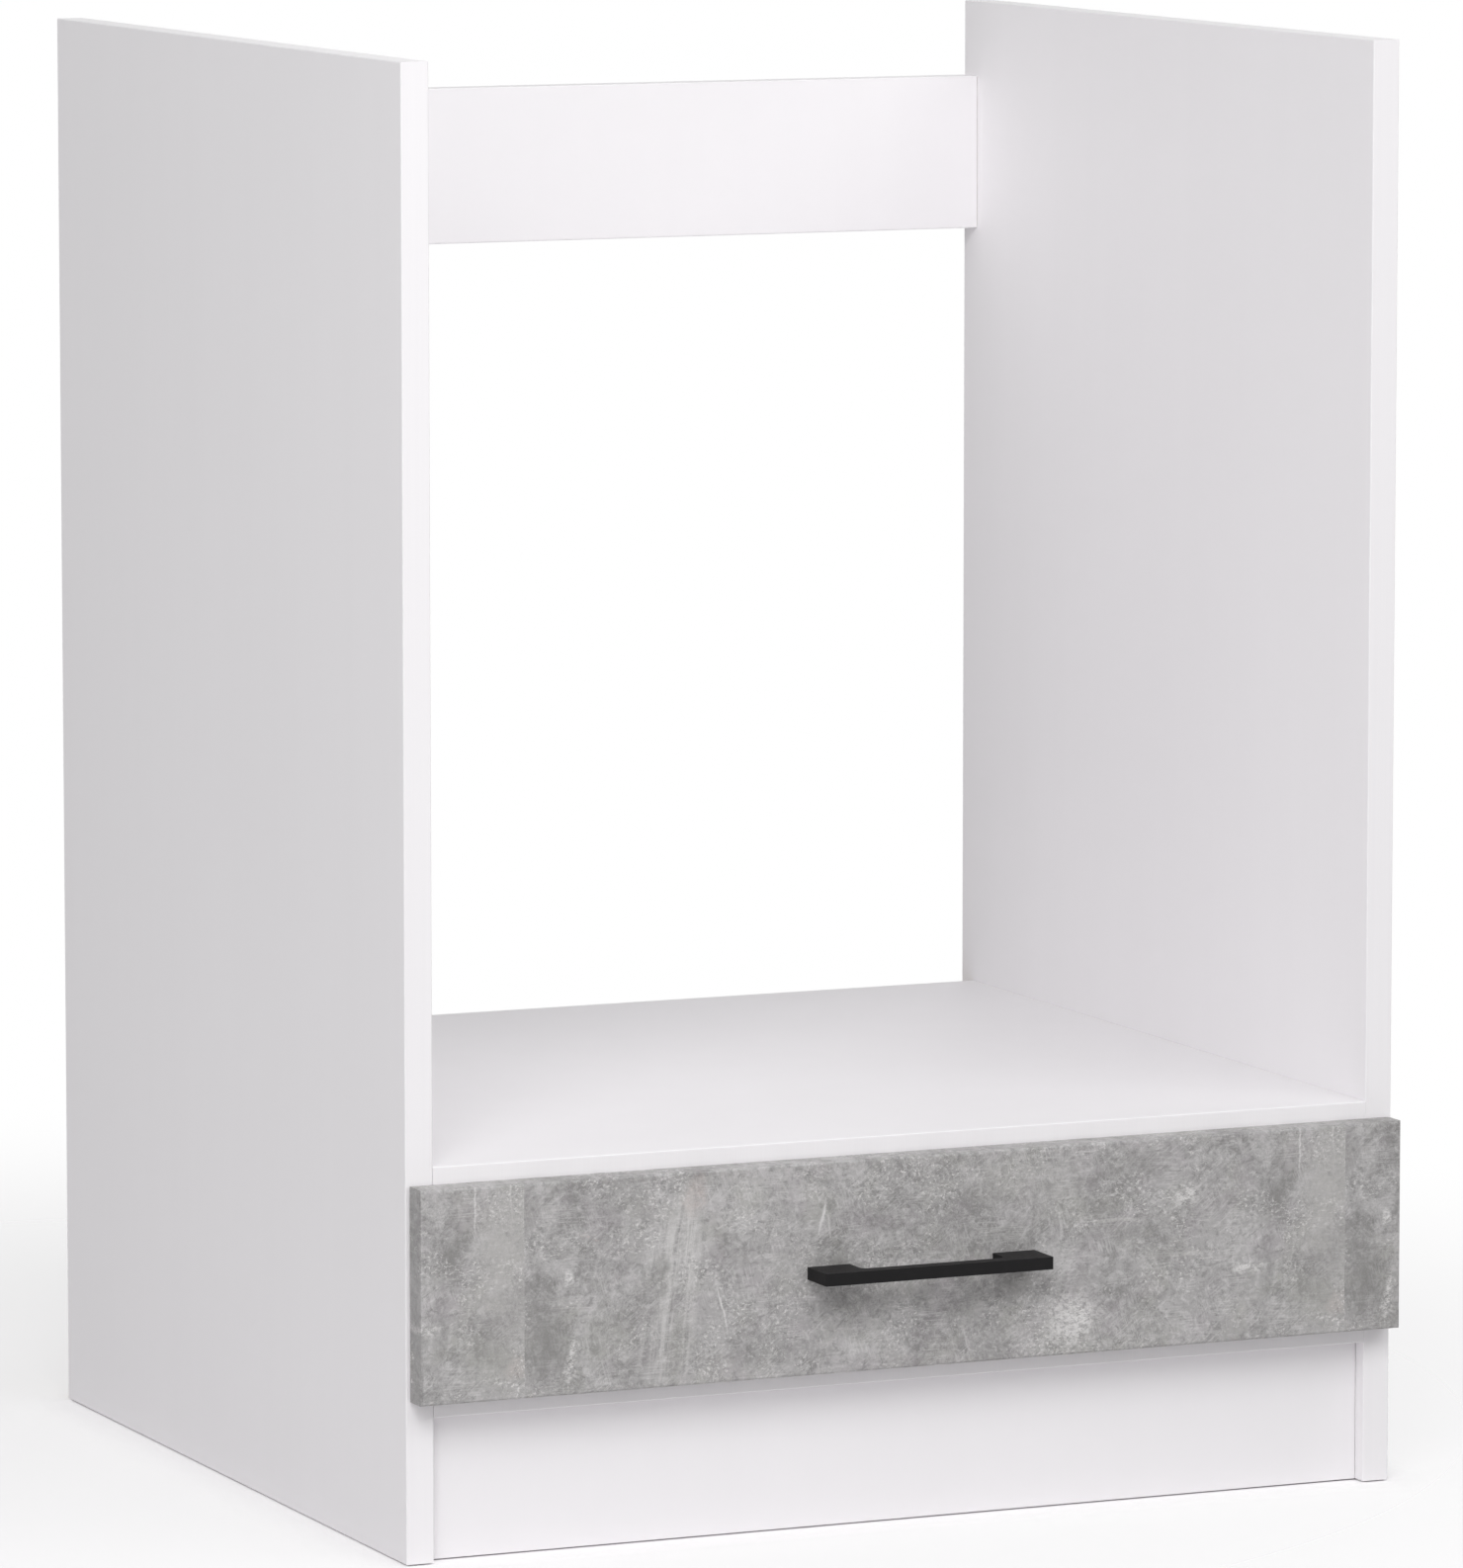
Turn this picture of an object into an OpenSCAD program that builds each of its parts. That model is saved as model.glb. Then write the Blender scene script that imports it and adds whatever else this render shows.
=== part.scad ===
// Kitchen base cabinet for a built-in oven: an open niche over one low drawer, on a plinth.
// Millimetres. X runs to the right, Y to the back and Z up. The origin lies on the floor,
// under the middle of the outline, which reaches from the handle to the back edges of the sides.

/* [Carcass] */
// Width over the two side panels
cab_w = 600; // [500:10:900]
// Height of the side panels, without a worktop
cab_h = 816; // [760:2:900]
// Depth of the side panels, edge bands included
cab_d = 536; // [500:2:620]
// Thickness of the coated boards
board_t = 16; // [16:1:19]
// Thickness of the edge bands
band_t = 0.8; // [0.5:0.1:2]
// Radius of the scraped arrises of the edge bands
arris_r = 0.7; // [0.2:0.1:1]

/* [Levels] */
// Height of the plinth, from the floor to the bottom panel
plinth_h = 80; // [70:1:160]
// Setback of the plinth board behind the side panels' front edges
plinth_inset = 9.5; // [2:0.5:60]
// Play between the plinth board and each side panel
plinth_play = 0.3; // [0.1:0.1:1]
// Clear height of the drawer bay
bay_h = 106; // [100:1:200]
// Height of the rear rail
rail_h = 92; // [86:1:160]
// Drop of the rear rail's top below the side panels' tops
rail_drop = 45; // [0:1:120]
// Distance of the rear rail's back face from the side panels' back edges
rail_inset = 2; // [0:0.5:10]
// Setback of the shelf's and the bottom panel's back edges from those of the side panels
shelf_setback = 16; // [0:1:60]

/* [Drawer front] */
// Thickness of the drawer front
front_t = 16; // [16:1:22]
// Gap between the drawer front and the carcass, taken up by the bumpers
front_gap = 1; // [0.6:0.1:3]
// Setback of the drawer front's ends from the outer faces of the side panels
front_reveal = 2; // [1:0.5:4]
// Lap of the drawer front over the bottom panel
front_lap_low = 6; // [3:0.5:12]
// Lap of the drawer front over the oven shelf
front_lap_top = 6.5; // [3:0.5:12]
// Radius of the four arrises round the drawer front's face
front_r = 1.8; // [0.5:0.1:4]
// Diameter of the bumpers behind the drawer front
bumper_d = 8; // [6:0.5:10]
// Distance of each bumper's centre from the drawer front's upper or lower edge
bumper_edge = 14; // [8:1:30]

/* [Handle] */
// Distance of the handle's two screws
handle_pitch = 128; // [64:32:288]
// Distance of each screw from the end of the handle
handle_end = 5; // [4:0.5:12]
// Height of the handle's flat bar
handle_h = 7; // [6:0.5:12]
// Reach of the handle in front of the drawer front
handle_reach = 25; // [18:1:40]
// Depth of the handle's bar
handle_bar = 8.5; // [5:0.5:12]
// Width of each handle foot
handle_foot = 25.5; // [12:0.5:30]
// Radius in the corners between the feet and the bar
handle_fillet = 4; // [1:0.5:6]
// Radius of the bar's outer arrises
handle_r = 0.7; // [0.2:0.1:2]
// Drop of the handle below the middle of the drawer front
handle_drop = 2; // [-20:1:20]
// Diameter of the handle's screws
handle_screw_d = 4; // [3:0.5:5]
// Depth that the screws reach into the handle's feet
handle_screw_in = 6; // [4:1:10]

/* [Drawer box] */
// Length of the drawer box and of its runners
drawer_l = 450; // [350:50:450]
// Thickness of the drawer's sides and back
drawer_t = 12; // [12:1:16]
// Radius of the foil-wrapped upper arrises of the drawer's sides and back
drawer_r = 2; // [0.5:0.5:4]
// Room between the drawer's sides and the oven shelf, to lift the drawer out
lift_room = 12; // [8:1:30]
// Thickness of the fibreboard bottom
hdf_t = 3; // [2.5:0.5:4]
// Play of the fibreboard in its groove
hdf_play = 0.1; // [0.05:0.05:0.3]
// Depth of the groove for the fibreboard
groove_deep = 5; // [3:0.5:6]
// Height of the groove over the lower edge of the drawer's sides
groove_up = 10; // [10:1:20]
// Distance of the outer screws under the drawer's back from its ends
bottom_screw_end = 62; // [30:1:90]

/* [Runners] */
// Length of the drawer box that stays in the cabinet when the drawer is open
drawer_hold = 100; // [100:10:250]
// Width of the gap for the runners beside the drawer
runner_gap = 12.5; // [12.5:0.5:16]
// Thickness of the runners' sheet steel
steel_t = 1.2; // [1:0.1:1.2]
// Height of the cabinet runners over the bottom panel
runner_lift = 8; // [2:1:20]
// Setback of the cabinet runners behind the side panels' front edges
runner_inset = 2; // [1:0.5:6]
// Diameter of the cabinet runners' rollers, at the front
roller_d = 19; // [17:0.5:19.5]
// Diameter of the drawer runners' rollers, at the back
rear_roller_d = 21; // [20.5:0.5:23]
// Width of the rollers
roller_w = 5; // [4:0.5:5]
// Play of the rollers over and under their tracks
roller_play = 0.3; // [0.2:0.1:0.6]
// Diameter of the rollers' axles
axle_d = 5; // [4:0.5:6]
// Running play of a roller round its axle
axle_play = 0.06; // [0.03:0.01:0.09]
// Distance of each roller's axle from the end of its runner
axle_end = 14; // [13:0.5:20]
// Play between a rear roller's top and the stop at the end of the channel's upper flange
stop_play = 0.5; // [0.4:0.1:1]
// Height of that stop, which holds the roller of a drawer that tips
stop_h = 2; // [1.5:0.1:3]
// Height of the drawer runner, from its foot to its wing
hanger_h = 17; // [16:0.5:20]
// Height of the lip along the free edge of the track
lip_h = 1.5; // [0.5:0.1:2]
// Play between the runners and between a roller's side and the lip
side_play = 0.3; // [0.3:0.1:0.6]
// Setback of the drawer runners behind the drawer front
hanger_inset = 2; // [1:0.5:6]
// Distance of the outer screws of a drawer runner from the ends of the drawer's side
hanger_screw_end = 45; // [40:1:80]

/* [Fittings] */
// Diameter of the cam locks
cam_d = 15; // [12:0.5:15]
// Distance of a cam lock from the end of its board in the carcass
cam_reach = 34; // [24:1:34]
// Distance of a cam lock from the end of its board in the drawer
drawer_cam_reach = 24; // [22:1:34]
// Wall left behind a cam lock's pocket
cam_wall = 2.5; // [1.5:0.5:4]
// Distance of the outer cam locks from a board's front and back edges
fitting_edge = 60; // [40:2:100]
// Distance between a cam lock and the dowel beside it
dowel_pitch = 32; // [20:1:64]
// Distance between the rail's cam lock and each dowel beside it
rail_dowel_pitch = 28; // [20:1:34]
// Diameter of the carcass dowels
dowel_d = 8; // [6:1:8]
// Length of the carcass dowels
dowel_l = 30; // [25:5:40]
// Diameter of the drawer's dowels
drawer_dowel_d = 6; // [5:1:6]
// Length of the drawer's dowels
drawer_dowel_l = 25; // [20:1:30]
// Depth that a dowel or a fitting bolt goes into the face of a board
face_deep = 11; // [8:0.5:12]
// Diameter of the wood screws
screw_d = 3.5; // [3:0.5:4]
// Diameter of the wood screws' heads
screw_head_d = 7; // [6:0.5:8]
// Height of the wood screws' heads
screw_head_h = 1.6; // [1.2:0.1:1.6]
// Length of the plinth blocks' legs
block_leg = 20; // [16:1:30]
// Height of the plinth blocks
block_h = 32; // [28:1:60]
// Distance of a plinth block's screws from its upper and lower ends
block_screw_end = 8; // [6:0.5:8]
// Wall of the plinth blocks
block_t = 3; // [2:0.5:5]

// Distance of the screws into the drawer's back from its upper and lower edges
back_screw_edge = 15; // [10:1:18]
// Wall between the drawer's lower cam locks and its bottom
cam_over = 4; // [2:0.5:6]
// Wall between the drawer's upper cam locks and the sides' upper edges
cam_under = 7; // [4:0.5:10]
// Length of the screws into the drawer's back
back_screw_l = 35; // [25:5:45]
// Length of the screws through the drawer's bottom
bottom_screw_l = 15; // [12:1:25]
// Length of the plinth blocks' screws
block_screw_l = 13; // [10:1:15]
// Length of the cabinet runners' screws
runner_screw_l = 14; // [10:1:15]

/* [Hidden] */
$fn = 48;

// Colours of the finishes
white = "#ECEBED";
white_edge = "#F0EFF1";
concrete = "#A3A2A1";
black = "#2A2829";
zinc = "#B9BCC0";
runner_white = "#E6E5E1";
nylon = "#F2F1EC";
beech = "#D2AE7C";
hdf = "#DEDCDA";

// Clearance of a shank in its hole, the room at the ends of a dowel or bolt, and the overrun of cuts
fit = 0.05;
end_room = 0.5;
cut = 1;

// Depths, from the back to the front
total_d = cab_d + front_gap + front_t + handle_reach;
y_back = total_d / 2;
y_face = y_back - cab_d;
y_box = y_face - front_gap;
y_front = y_box - front_t;
y_rail = y_back - rail_inset - board_t;
shelf_d = cab_d - shelf_setback;
y_plinth = y_face + plinth_inset;

// Levels, from the floor to the top
z_bay = plinth_h + board_t;
z_shelf = z_bay + bay_h;
z_rail = cab_h - rail_drop - rail_h;
z_front = z_bay - front_lap_low;
front_h = front_lap_low + bay_h + front_lap_top;
z_handle = z_front + front_h / 2 - handle_drop;

// Widths
in_w = cab_w - 2 * board_t;
x_in = in_w / 2;
front_w = cab_w - 2 * front_reveal;
drawer_w = in_w - 2 * runner_gap;
drawer_in_w = drawer_w - 2 * drawer_t;
handle_l = handle_pitch + 2 * handle_end;

// Runner levels: the track, the axles, the drawer runner's wing and foot, the channel's stop and flange
roller_r = roller_d / 2;
rear_roller_r = rear_roller_d / 2;
z_runner = z_bay + runner_lift;
z_track = z_runner + steel_t;
z_front_axle = z_track + roller_play + roller_r;
z_rear_axle = z_track + roller_play + rear_roller_r;
z_wing = z_front_axle + roller_r + roller_play;
z_foot = z_wing + steel_t - hanger_h;
z_stop = max(z_rear_axle + rear_roller_r, z_wing + steel_t) + stop_play;
z_flange = z_stop + stop_h;
channel_h = z_flange + steel_t - z_runner;

// Levels of the drawer box, its groove and its back
z_box = z_foot + steel_t;
box_h = z_shelf - lift_room - z_box;
z_groove = z_box + groove_up;
groove_h = hdf_t + 2 * hdf_play;
z_back = z_groove + groove_h;

// Runner places across the gap, counted from the side panel
wing_lap = 0.6;
web_play = 0.5;
channel_w = runner_gap - steel_t - web_play;
roller_out = channel_w - steel_t - side_play;
roller_in = roller_out - roller_w;
x_rollers = -x_in + (roller_in + roller_out) / 2;
wing_w = runner_gap - roller_in + wing_lap;

// Runner places along the cabinet: the drawer's travel ends where a raised rear roller meets the stop
travel = drawer_l - drawer_hold;
y_runner = y_face + runner_inset;
y_front_axle = y_runner + axle_end;
y_rear_axle = y_box + drawer_l - axle_end;
meet_z = z_stop - z_flange + rear_roller_r;
meet_y = sqrt(rear_roller_r * rear_roller_r - meet_z * meet_z);
y_stop = y_rear_axle - travel - meet_y - steel_t;

// Places of the screws along the runners, on the usual 32 mm grid that starts 37 mm from the front
grid = 32;
grid_first = 37;
grid_n = floor((drawer_l - grid_first - axle_end - roller_r) / grid);
runner_screw_y = [for (k = [0, round(grid_n / 2), grid_n]) y_face + grid_first + k * grid];
runner_slot_y = [for (k = [1, round(grid_n / 2) - 1, grid_n - 2]) y_face + grid_first + k * grid];
hanger_screw_y = [y_box + hanger_screw_end, y_box + drawer_l / 2, y_box + drawer_l - hanger_screw_end];

// Parts of a roller and of its axle
rim_t = 2;
hub_t = 2;
disc_in = 1.4;
tread_c = 0.6;
shoulder_t = 1.4;
axle_gap = 0.1;
axle_head = 0.8;

// Places of the carcass fittings: along the boards, and the rail's over its height
y_bolts = [y_face + fitting_edge, y_face + shelf_d - fitting_edge];
y_dowels = [y_bolts[0] + dowel_pitch, y_bolts[1] - dowel_pitch];
z_boards = [plinth_h + board_t / 2, z_shelf + board_t / 2];
y_rail_mid = y_rail + board_t / 2;
z_rail_mid = z_rail + rail_h / 2;
z_rail_dowels = [z_rail_mid - rail_dowel_pitch, z_rail_mid + rail_dowel_pitch];

// Depth of the dowel holes in the ends of the boards
dowel_end = dowel_l - face_deep + 2 * end_room;
drawer_dowel_end = drawer_dowel_l - face_deep + 2 * end_room;

// Places of the drawer's fittings over the height of its sides
x_drawer_side = -drawer_w / 2 + drawer_t / 2;
z_drawer_bolts = [z_back + cam_d / 2 + cam_over, z_box + box_h - cam_d / 2 - cam_under];
z_drawer_dowel = (z_drawer_bolts[0] + z_drawer_bolts[1]) / 2;
y_drawer_back = y_box + drawer_l - drawer_t;
z_back_screws = [z_back + back_screw_edge, z_box + box_h - back_screw_edge];
y_back_screws = y_drawer_back + drawer_t / 2;
bottom_screw_x = [for (k = [-1, 0, 1]) k * (drawer_in_w / 2 - bottom_screw_end)];
z_hdf = z_groove + hdf_play;
hdf_in = groove_deep - 0.3;
hanger_screw_l = groove_up - 1;

// Places of the plinth blocks and their screws
z_block = (plinth_h - block_h) / 2;
block_screw_z = [z_block + block_screw_end, z_block + block_h - block_screw_end];
block_screw_in = (block_leg + block_t) / 2 + 1;
y_block = y_plinth + board_t;
y_block_screw = y_block + block_screw_in;
x_block_screw = -x_in + block_screw_in;

// Radius of a hole that takes a wood screw's shank
hole_r = screw_d / 2 + fit;

// Heads of the handle's screws
handle_head_d = 8;
handle_head_h = 2.4;
handle_hole_room = 0.2;

// Bolt of a cam fitting: collar, neck and head round its axis
bolt_r = 2.5;
collar_r = 3.4;
collar_l = 1.2;
neck_r = 1.7;
neck_l = 4;
bolt_head_r = 3.1;
bolt_head_l = 3.6;
bolt_hole_r = collar_r + 0.2;

// Draws a piece of the left half and its mirror image
module both_sides() {
    children();
    mirror([1, 0, 0]) children();
}

// Turns a piece that stands along Z so that it points to the right, left, front or back
module to_right(p) { translate(p) rotate([0, 90, 0]) children(); }
module to_left(p) { translate(p) rotate([0, -90, 0]) children(); }
module to_front(p) { translate(p) rotate([90, 0, 0]) children(); }
module to_back(p) { translate(p) rotate([-90, 0, 0]) children(); }

// Solid of revolution from an outline of [radius, height] points
module turned(points) { rotate_extrude() polygon(points); }

// What a rounded arris takes away along Z, from a solid in the corner x > 0, y > 0
module arris_cut(length, r) {
    difference() {
        translate([-cut, -cut, -cut]) cube([r + cut, r + cut, length + 2 * cut]);
        translate([r, r, -2 * cut]) cylinder(r = r, h = length + 4 * cut);
    }
}

// Strip of edge band along Z: its glued face lies on y = 0 and its face looks to -Y
module band(length, width) {
    r = min(arris_r, band_t, width / 2);
    linear_extrude(length) intersection() {
        translate([-width / 2, -band_t]) square([width, band_t]);
        union() {
            translate([-width / 2, r - band_t]) square([width, band_t]);
            translate([r - width / 2, -band_t]) square([width - 2 * r, band_t]);
            for (s = [-1, 1]) translate([s * (width / 2 - r), r - band_t]) circle(r = r);
        }
    }
}

// Fitting bolt: its thread goes down into a face on z = 0 and its head stands up at the cam
module fitting_bolt(reach) {
    low = end_room - face_deep;
    top = reach - end_room;
    turned([
        [0, low], [bolt_r - 1, low], [bolt_r, low + 1], [bolt_r, 0],
        [collar_r, 0], [collar_r, collar_l], [bolt_r, collar_l], [bolt_r, top - bolt_head_l - neck_l],
        [neck_r, top - bolt_head_l - neck_l + 1], [neck_r, top - bolt_head_l],
        [bolt_head_r, top - bolt_head_l + 1], [bolt_head_r, top - 0.8], [bolt_head_r - 0.8, top], [0, top]
    ]);
}

// Cam lock: a disc under the face z = 0, open towards +X for the bolt, with a cross in its face
module cam_lock(deep) {
    r = cam_d / 2 - 0.1;
    slot = 2 * bolt_head_r + 0.6;
    difference() {
        translate([0, 0, -deep]) cylinder(r = r, h = deep);
        translate([0, -slot / 2, -deep - cut]) cube([cam_d, slot, deep + cut - 2.4]);
        translate([0, 0, -deep - cut]) cylinder(d = slot, h = deep + cut - 2.4);
        for (a = [0, 90]) rotate(a) translate([-3, -0.6, -1.4]) cube([6, 1.2, 2]);
    }
}

// Wooden dowel along Z, centred, with chamfered ends
module dowel(d, length) {
    c = 1;
    turned([
        [0, -length / 2], [d / 2 - c, -length / 2], [d / 2, c - length / 2],
        [d / 2, length / 2 - c], [d / 2 - c, length / 2], [0, length / 2]
    ]);
}

// Wood screw with a raised head over z = 0 and its shank below
module pan_screw(length) {
    r = screw_d / 2;
    turned([
        [0, -length], [r, -length + 1.6 * screw_d], [r, 0], [screw_head_d / 2, 0],
        [screw_head_d / 2, screw_head_h * 0.4], [screw_head_d * 0.32, screw_head_h], [0, screw_head_h]
    ]);
}

// Wood screw with a countersunk head under z = 0
module flat_screw(length) {
    r = screw_d / 2;
    head = (screw_head_d - screw_d) / 2;
    turned([
        [0, -length], [r, -length + 1.6 * screw_d], [r, -head - 0.2],
        [screw_head_d / 2, -0.2], [screw_head_d / 2, 0], [0, 0]
    ]);
}

// Pilot hole of a wood screw, down from z = 0
module pilot(length) {
    translate([0, 0, -length - end_room]) cylinder(r = screw_d / 2 + fit, h = length + end_room + cut);
}

// Seat of a countersunk screw, down from z = 0
module flat_screw_seat(length) {
    pilot(length);
    head = (screw_head_d - screw_d) / 2;
    rim = -0.2 - 2 * fit;
    turned([
        [0, rim - head], [screw_d / 2 + fit, rim - head], [screw_head_d / 2 + fit, rim],
        [screw_head_d / 2 + fit, cut], [0, cut]
    ]);
}

// Blind holes in the inner face of the left side panel, for every piece that is fixed to it
module side_bores() {
    for (y = y_bolts, z = z_boards) to_left([-x_in, y, z]) face_bore(bolt_r);
    for (y = y_dowels, z = z_boards) to_left([-x_in, y, z]) face_bore(dowel_d / 2);
    to_left([-x_in, y_rail_mid, z_rail_mid]) face_bore(bolt_r);
    for (z = z_rail_dowels) to_left([-x_in, y_rail_mid, z]) face_bore(dowel_d / 2);
    for (y = runner_screw_y) to_right([-x_in, y, z_front_axle]) pilot(runner_screw_l - steel_t);
    for (z = block_screw_z) to_right([-x_in, y_block_screw, z]) pilot(block_screw_l - block_t);
}

// Blind hole of a bolt or dowel, up from z = 0
module face_bore(r) { translate([0, 0, -cut]) cylinder(r = r + fit, h = face_deep + cut); }

// Left side panel: a coated board with a band on its front and upper edges
module side_panel() {
    difference() {
        translate([-cab_w / 2, y_face + band_t, 0]) cube([board_t, cab_d - band_t, cab_h - band_t]);
        side_bores();
    }
}

module left_side_panel() { color(white) side_panel(); }
module right_side_panel() { color(white) mirror([1, 0, 0]) side_panel(); }

// Bores in the left end of a board that lies with its middle at height z and has its cams below
module lying_board_bores(z) {
    for (y = y_bolts) {
        to_right([-x_in - cut, y, z]) cylinder(r = bolt_hole_r, h = cam_reach + cut);
        translate([-x_in + cam_reach, y, z - board_t / 2 - cut])
            cylinder(d = cam_d, h = board_t - cam_wall + cut);
    }
    for (y = y_dowels)
        to_right([-x_in - cut, y, z]) cylinder(r = dowel_d / 2 + fit, h = dowel_end + cut);
}

// Board that lies between the side panels, with its front edge banded
module lying_board(z) {
    difference() {
        translate([-x_in, y_face + band_t, z - board_t / 2]) cube([in_w, shelf_d - band_t, board_t]);
        both_sides() lying_board_bores(z);
    }
}

module bottom_panel() { color(white) lying_board(z_boards[0]); }
module oven_shelf() { color(white) lying_board(z_boards[1]); }

// Rail between the side panels at the back: banded above and below, with its cams in the back face
module rear_rail() {
    color(white) difference() {
        translate([-x_in, y_rail, z_rail + band_t]) cube([in_w, board_t, rail_h - 2 * band_t]);
        both_sides() {
            to_right([-x_in - cut, y_rail_mid, z_rail_mid]) cylinder(r = bolt_hole_r, h = cam_reach + cut);
            to_back([-x_in + cam_reach, y_rail + cam_wall, z_rail_mid]) cylinder(d = cam_d, h = board_t);
            for (z = z_rail_dowels)
                to_right([-x_in - cut, y_rail_mid, z]) cylinder(r = dowel_d / 2 + fit, h = dowel_end + cut);
        }
    }
}

// Plinth board: stands on the floor between the side panels, under the bottom panel
module plinth_board() {
    color(white) difference() {
        translate([plinth_play - x_in, y_plinth, 0]) cube([in_w - 2 * plinth_play, board_t, plinth_h]);
        both_sides() for (z = block_screw_z)
            to_back([x_block_screw, y_plinth + board_t, z]) pilot(block_screw_l - block_t);
    }
}

// Bands on the edges of the carcass boards that show, each one a strip of its own
module edge_bands() {
    top_l = cab_d - band_t - fit;
    lying_l = in_w - 2 * fit;
    color(white_edge) {
        both_sides() {
            translate([-x_in - board_t / 2, y_face + band_t, 0]) band(cab_h, board_t);
            translate([-x_in - board_t / 2, y_back, cab_h - band_t]) rotate([90, 0, 0])
                mirror([0, 1, 0]) band(top_l, board_t);
        }
        for (z = z_boards)
            translate([fit - x_in, y_face + band_t, z]) rotate([0, 90, 0]) band(lying_l, board_t);
        translate([fit - x_in, y_rail_mid, z_rail + rail_h - band_t]) rotate([90, 0, 90])
            mirror([0, 1, 0]) band(lying_l, board_t);
        translate([fit - x_in, y_rail_mid, z_rail + band_t]) rotate([90, 0, 90]) band(lying_l, board_t);
    }
}

module fitting_bolts() {
    color(zinc) both_sides() {
        for (y = y_bolts, z = z_boards) to_right([-x_in, y, z]) fitting_bolt(cam_reach);
        to_right([-x_in, y_rail_mid, z_rail_mid]) fitting_bolt(cam_reach);
    }
}

// Cam locks of the carcass: under the shelf and the bottom panel, and in the back of the rail
module cam_locks() {
    deep = board_t - cam_wall - 0.1;
    color(zinc) both_sides() {
        for (y = y_bolts, z = z_boards)
            translate([-x_in + cam_reach, y, z - board_t / 2]) rotate([180, 0, 180]) cam_lock(deep);
        translate([-x_in + cam_reach, y_rail + board_t, z_rail_mid]) rotate([-90, 0, 0])
            rotate(180) cam_lock(deep);
    }
}

module carcass_dowels() {
    middle = (dowel_end - face_deep) / 2;
    color(beech) both_sides() {
        for (y = y_dowels, z = z_boards) to_right([-x_in + middle, y, z]) dowel(dowel_d, dowel_l);
        for (z = z_rail_dowels) to_right([-x_in + middle, y_rail_mid, z]) dowel(dowel_d, dowel_l);
    }
}

// Moulded corner block behind the plinth: two legs and a web between their screws
module plinth_block() {
    translate([-x_in, y_block, z_block]) difference() {
        union() {
            cube([block_t, block_leg, block_h]);
            cube([block_leg, block_t, block_h]);
            translate([0, 0, (block_h - block_t) / 2]) linear_extrude(block_t)
                polygon([[0, 0], [block_leg, 0], [block_leg, block_t], [block_t, block_leg], [0, block_leg]]);
        }
        for (z = block_screw_z) {
            to_right([-cut, block_screw_in, z - z_block]) cylinder(r = hole_r, h = block_t + 2 * cut);
            to_back([block_screw_in, -cut, z - z_block]) cylinder(r = hole_r, h = block_t + 2 * cut);
        }
    }
}

module plinth_blocks() { color(white_edge) both_sides() plinth_block(); }

module plinth_block_screws() {
    color(zinc) both_sides() for (z = block_screw_z) {
        to_right([-x_in + block_t, y_block_screw, z]) pan_screw(block_screw_l);
        to_back([x_block_screw, y_block + block_t, z]) pan_screw(block_screw_l);
    }
}

// Quarter of a disc about a bend's centre, in the corner x > 0, y > 0
module bend() {
    intersection() {
        circle(r = steel_t);
        square([steel_t, steel_t]);
    }
}

// Channel of the cabinet runner: web on the side panel, track with a lip below, flange above
module channel_outline() {
    t = steel_t;
    translate([t, t]) rotate(180) bend();
    translate([t, channel_h - t]) rotate(90) bend();
    translate([0, t]) square([t, channel_h - 2 * t]);
    translate([t, 0]) square([channel_w - 2 * t, t]);
    translate([channel_w - t, t]) rotate(-90) bend();
    translate([channel_w - t, t]) square([t, lip_h]);
    translate([t, channel_h - t]) square([channel_w - t, t]);
}

// End of the channel's upper flange, bent down as a stop, in a section with Y to the right
module stop_outline() {
    t = steel_t;
    square([t, stop_h]);
    translate([t, stop_h]) rotate(90) bend();
}

// Oblong hole through sheet that lies on z = 0, long along Y
module slot_cut(d, length) {
    for (y = [-1, 1]) translate([0, y * (length - d) / 2, -cut]) cylinder(d = d, h = steel_t + 2 * cut);
    translate([-d / 2, (d - length) / 2, -cut]) cube([d, length - d, steel_t + 2 * cut]);
}

// Cabinet runner on the left side panel: open above, before the stop, to take in the rear roller
module cabinet_runner() {
    web_cut = steel_t + 2 * cut;
    difference() {
        translate([-x_in, y_runner + drawer_l, z_runner]) rotate([90, 0, 0])
            linear_extrude(drawer_l) channel_outline();
        translate([-x_in + steel_t, y_runner - cut, z_front_axle])
            cube([channel_w, y_stop + steel_t - y_runner + cut, channel_h]);
        for (y = runner_screw_y) to_right([-x_in - cut, y, z_front_axle]) cylinder(r = hole_r, h = web_cut);
        for (y = runner_slot_y) to_right([-x_in, y, z_front_axle]) slot_cut(2 * hole_r, 9);
        to_right([-x_in - cut, y_front_axle, z_front_axle]) cylinder(r = axle_d / 2 + fit, h = web_cut);
    }
    translate([-x_in + steel_t, y_stop, z_stop]) rotate([90, 0, 90])
        linear_extrude(channel_w - steel_t) stop_outline();
}

module cabinet_runner_left() { color(runner_white) cabinet_runner(); }
module cabinet_runner_right() { color(runner_white) mirror([1, 0, 0]) cabinet_runner(); }

module cabinet_runner_screws() {
    color(zinc) both_sides() for (y = runner_screw_y)
        to_right([-x_in + steel_t, y, z_front_axle]) pan_screw(runner_screw_l);
}

// Nylon roller round Z, centred: tread, thin disc and hub
module roller(r) {
    w = roller_w / 2;
    bore = axle_d / 2 + axle_play;
    hub = bore + hub_t;
    rim = r - rim_t;
    disc = w - disc_in;
    turned([
        [bore, -w], [hub, -w], [hub, -disc], [rim, -disc], [rim, -w], [r - tread_c, -w], [r, tread_c - w],
        [r, w - tread_c], [r - tread_c, w], [rim, w], [rim, disc], [hub, disc], [hub, w], [bore, w]
    ]);
}

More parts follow.
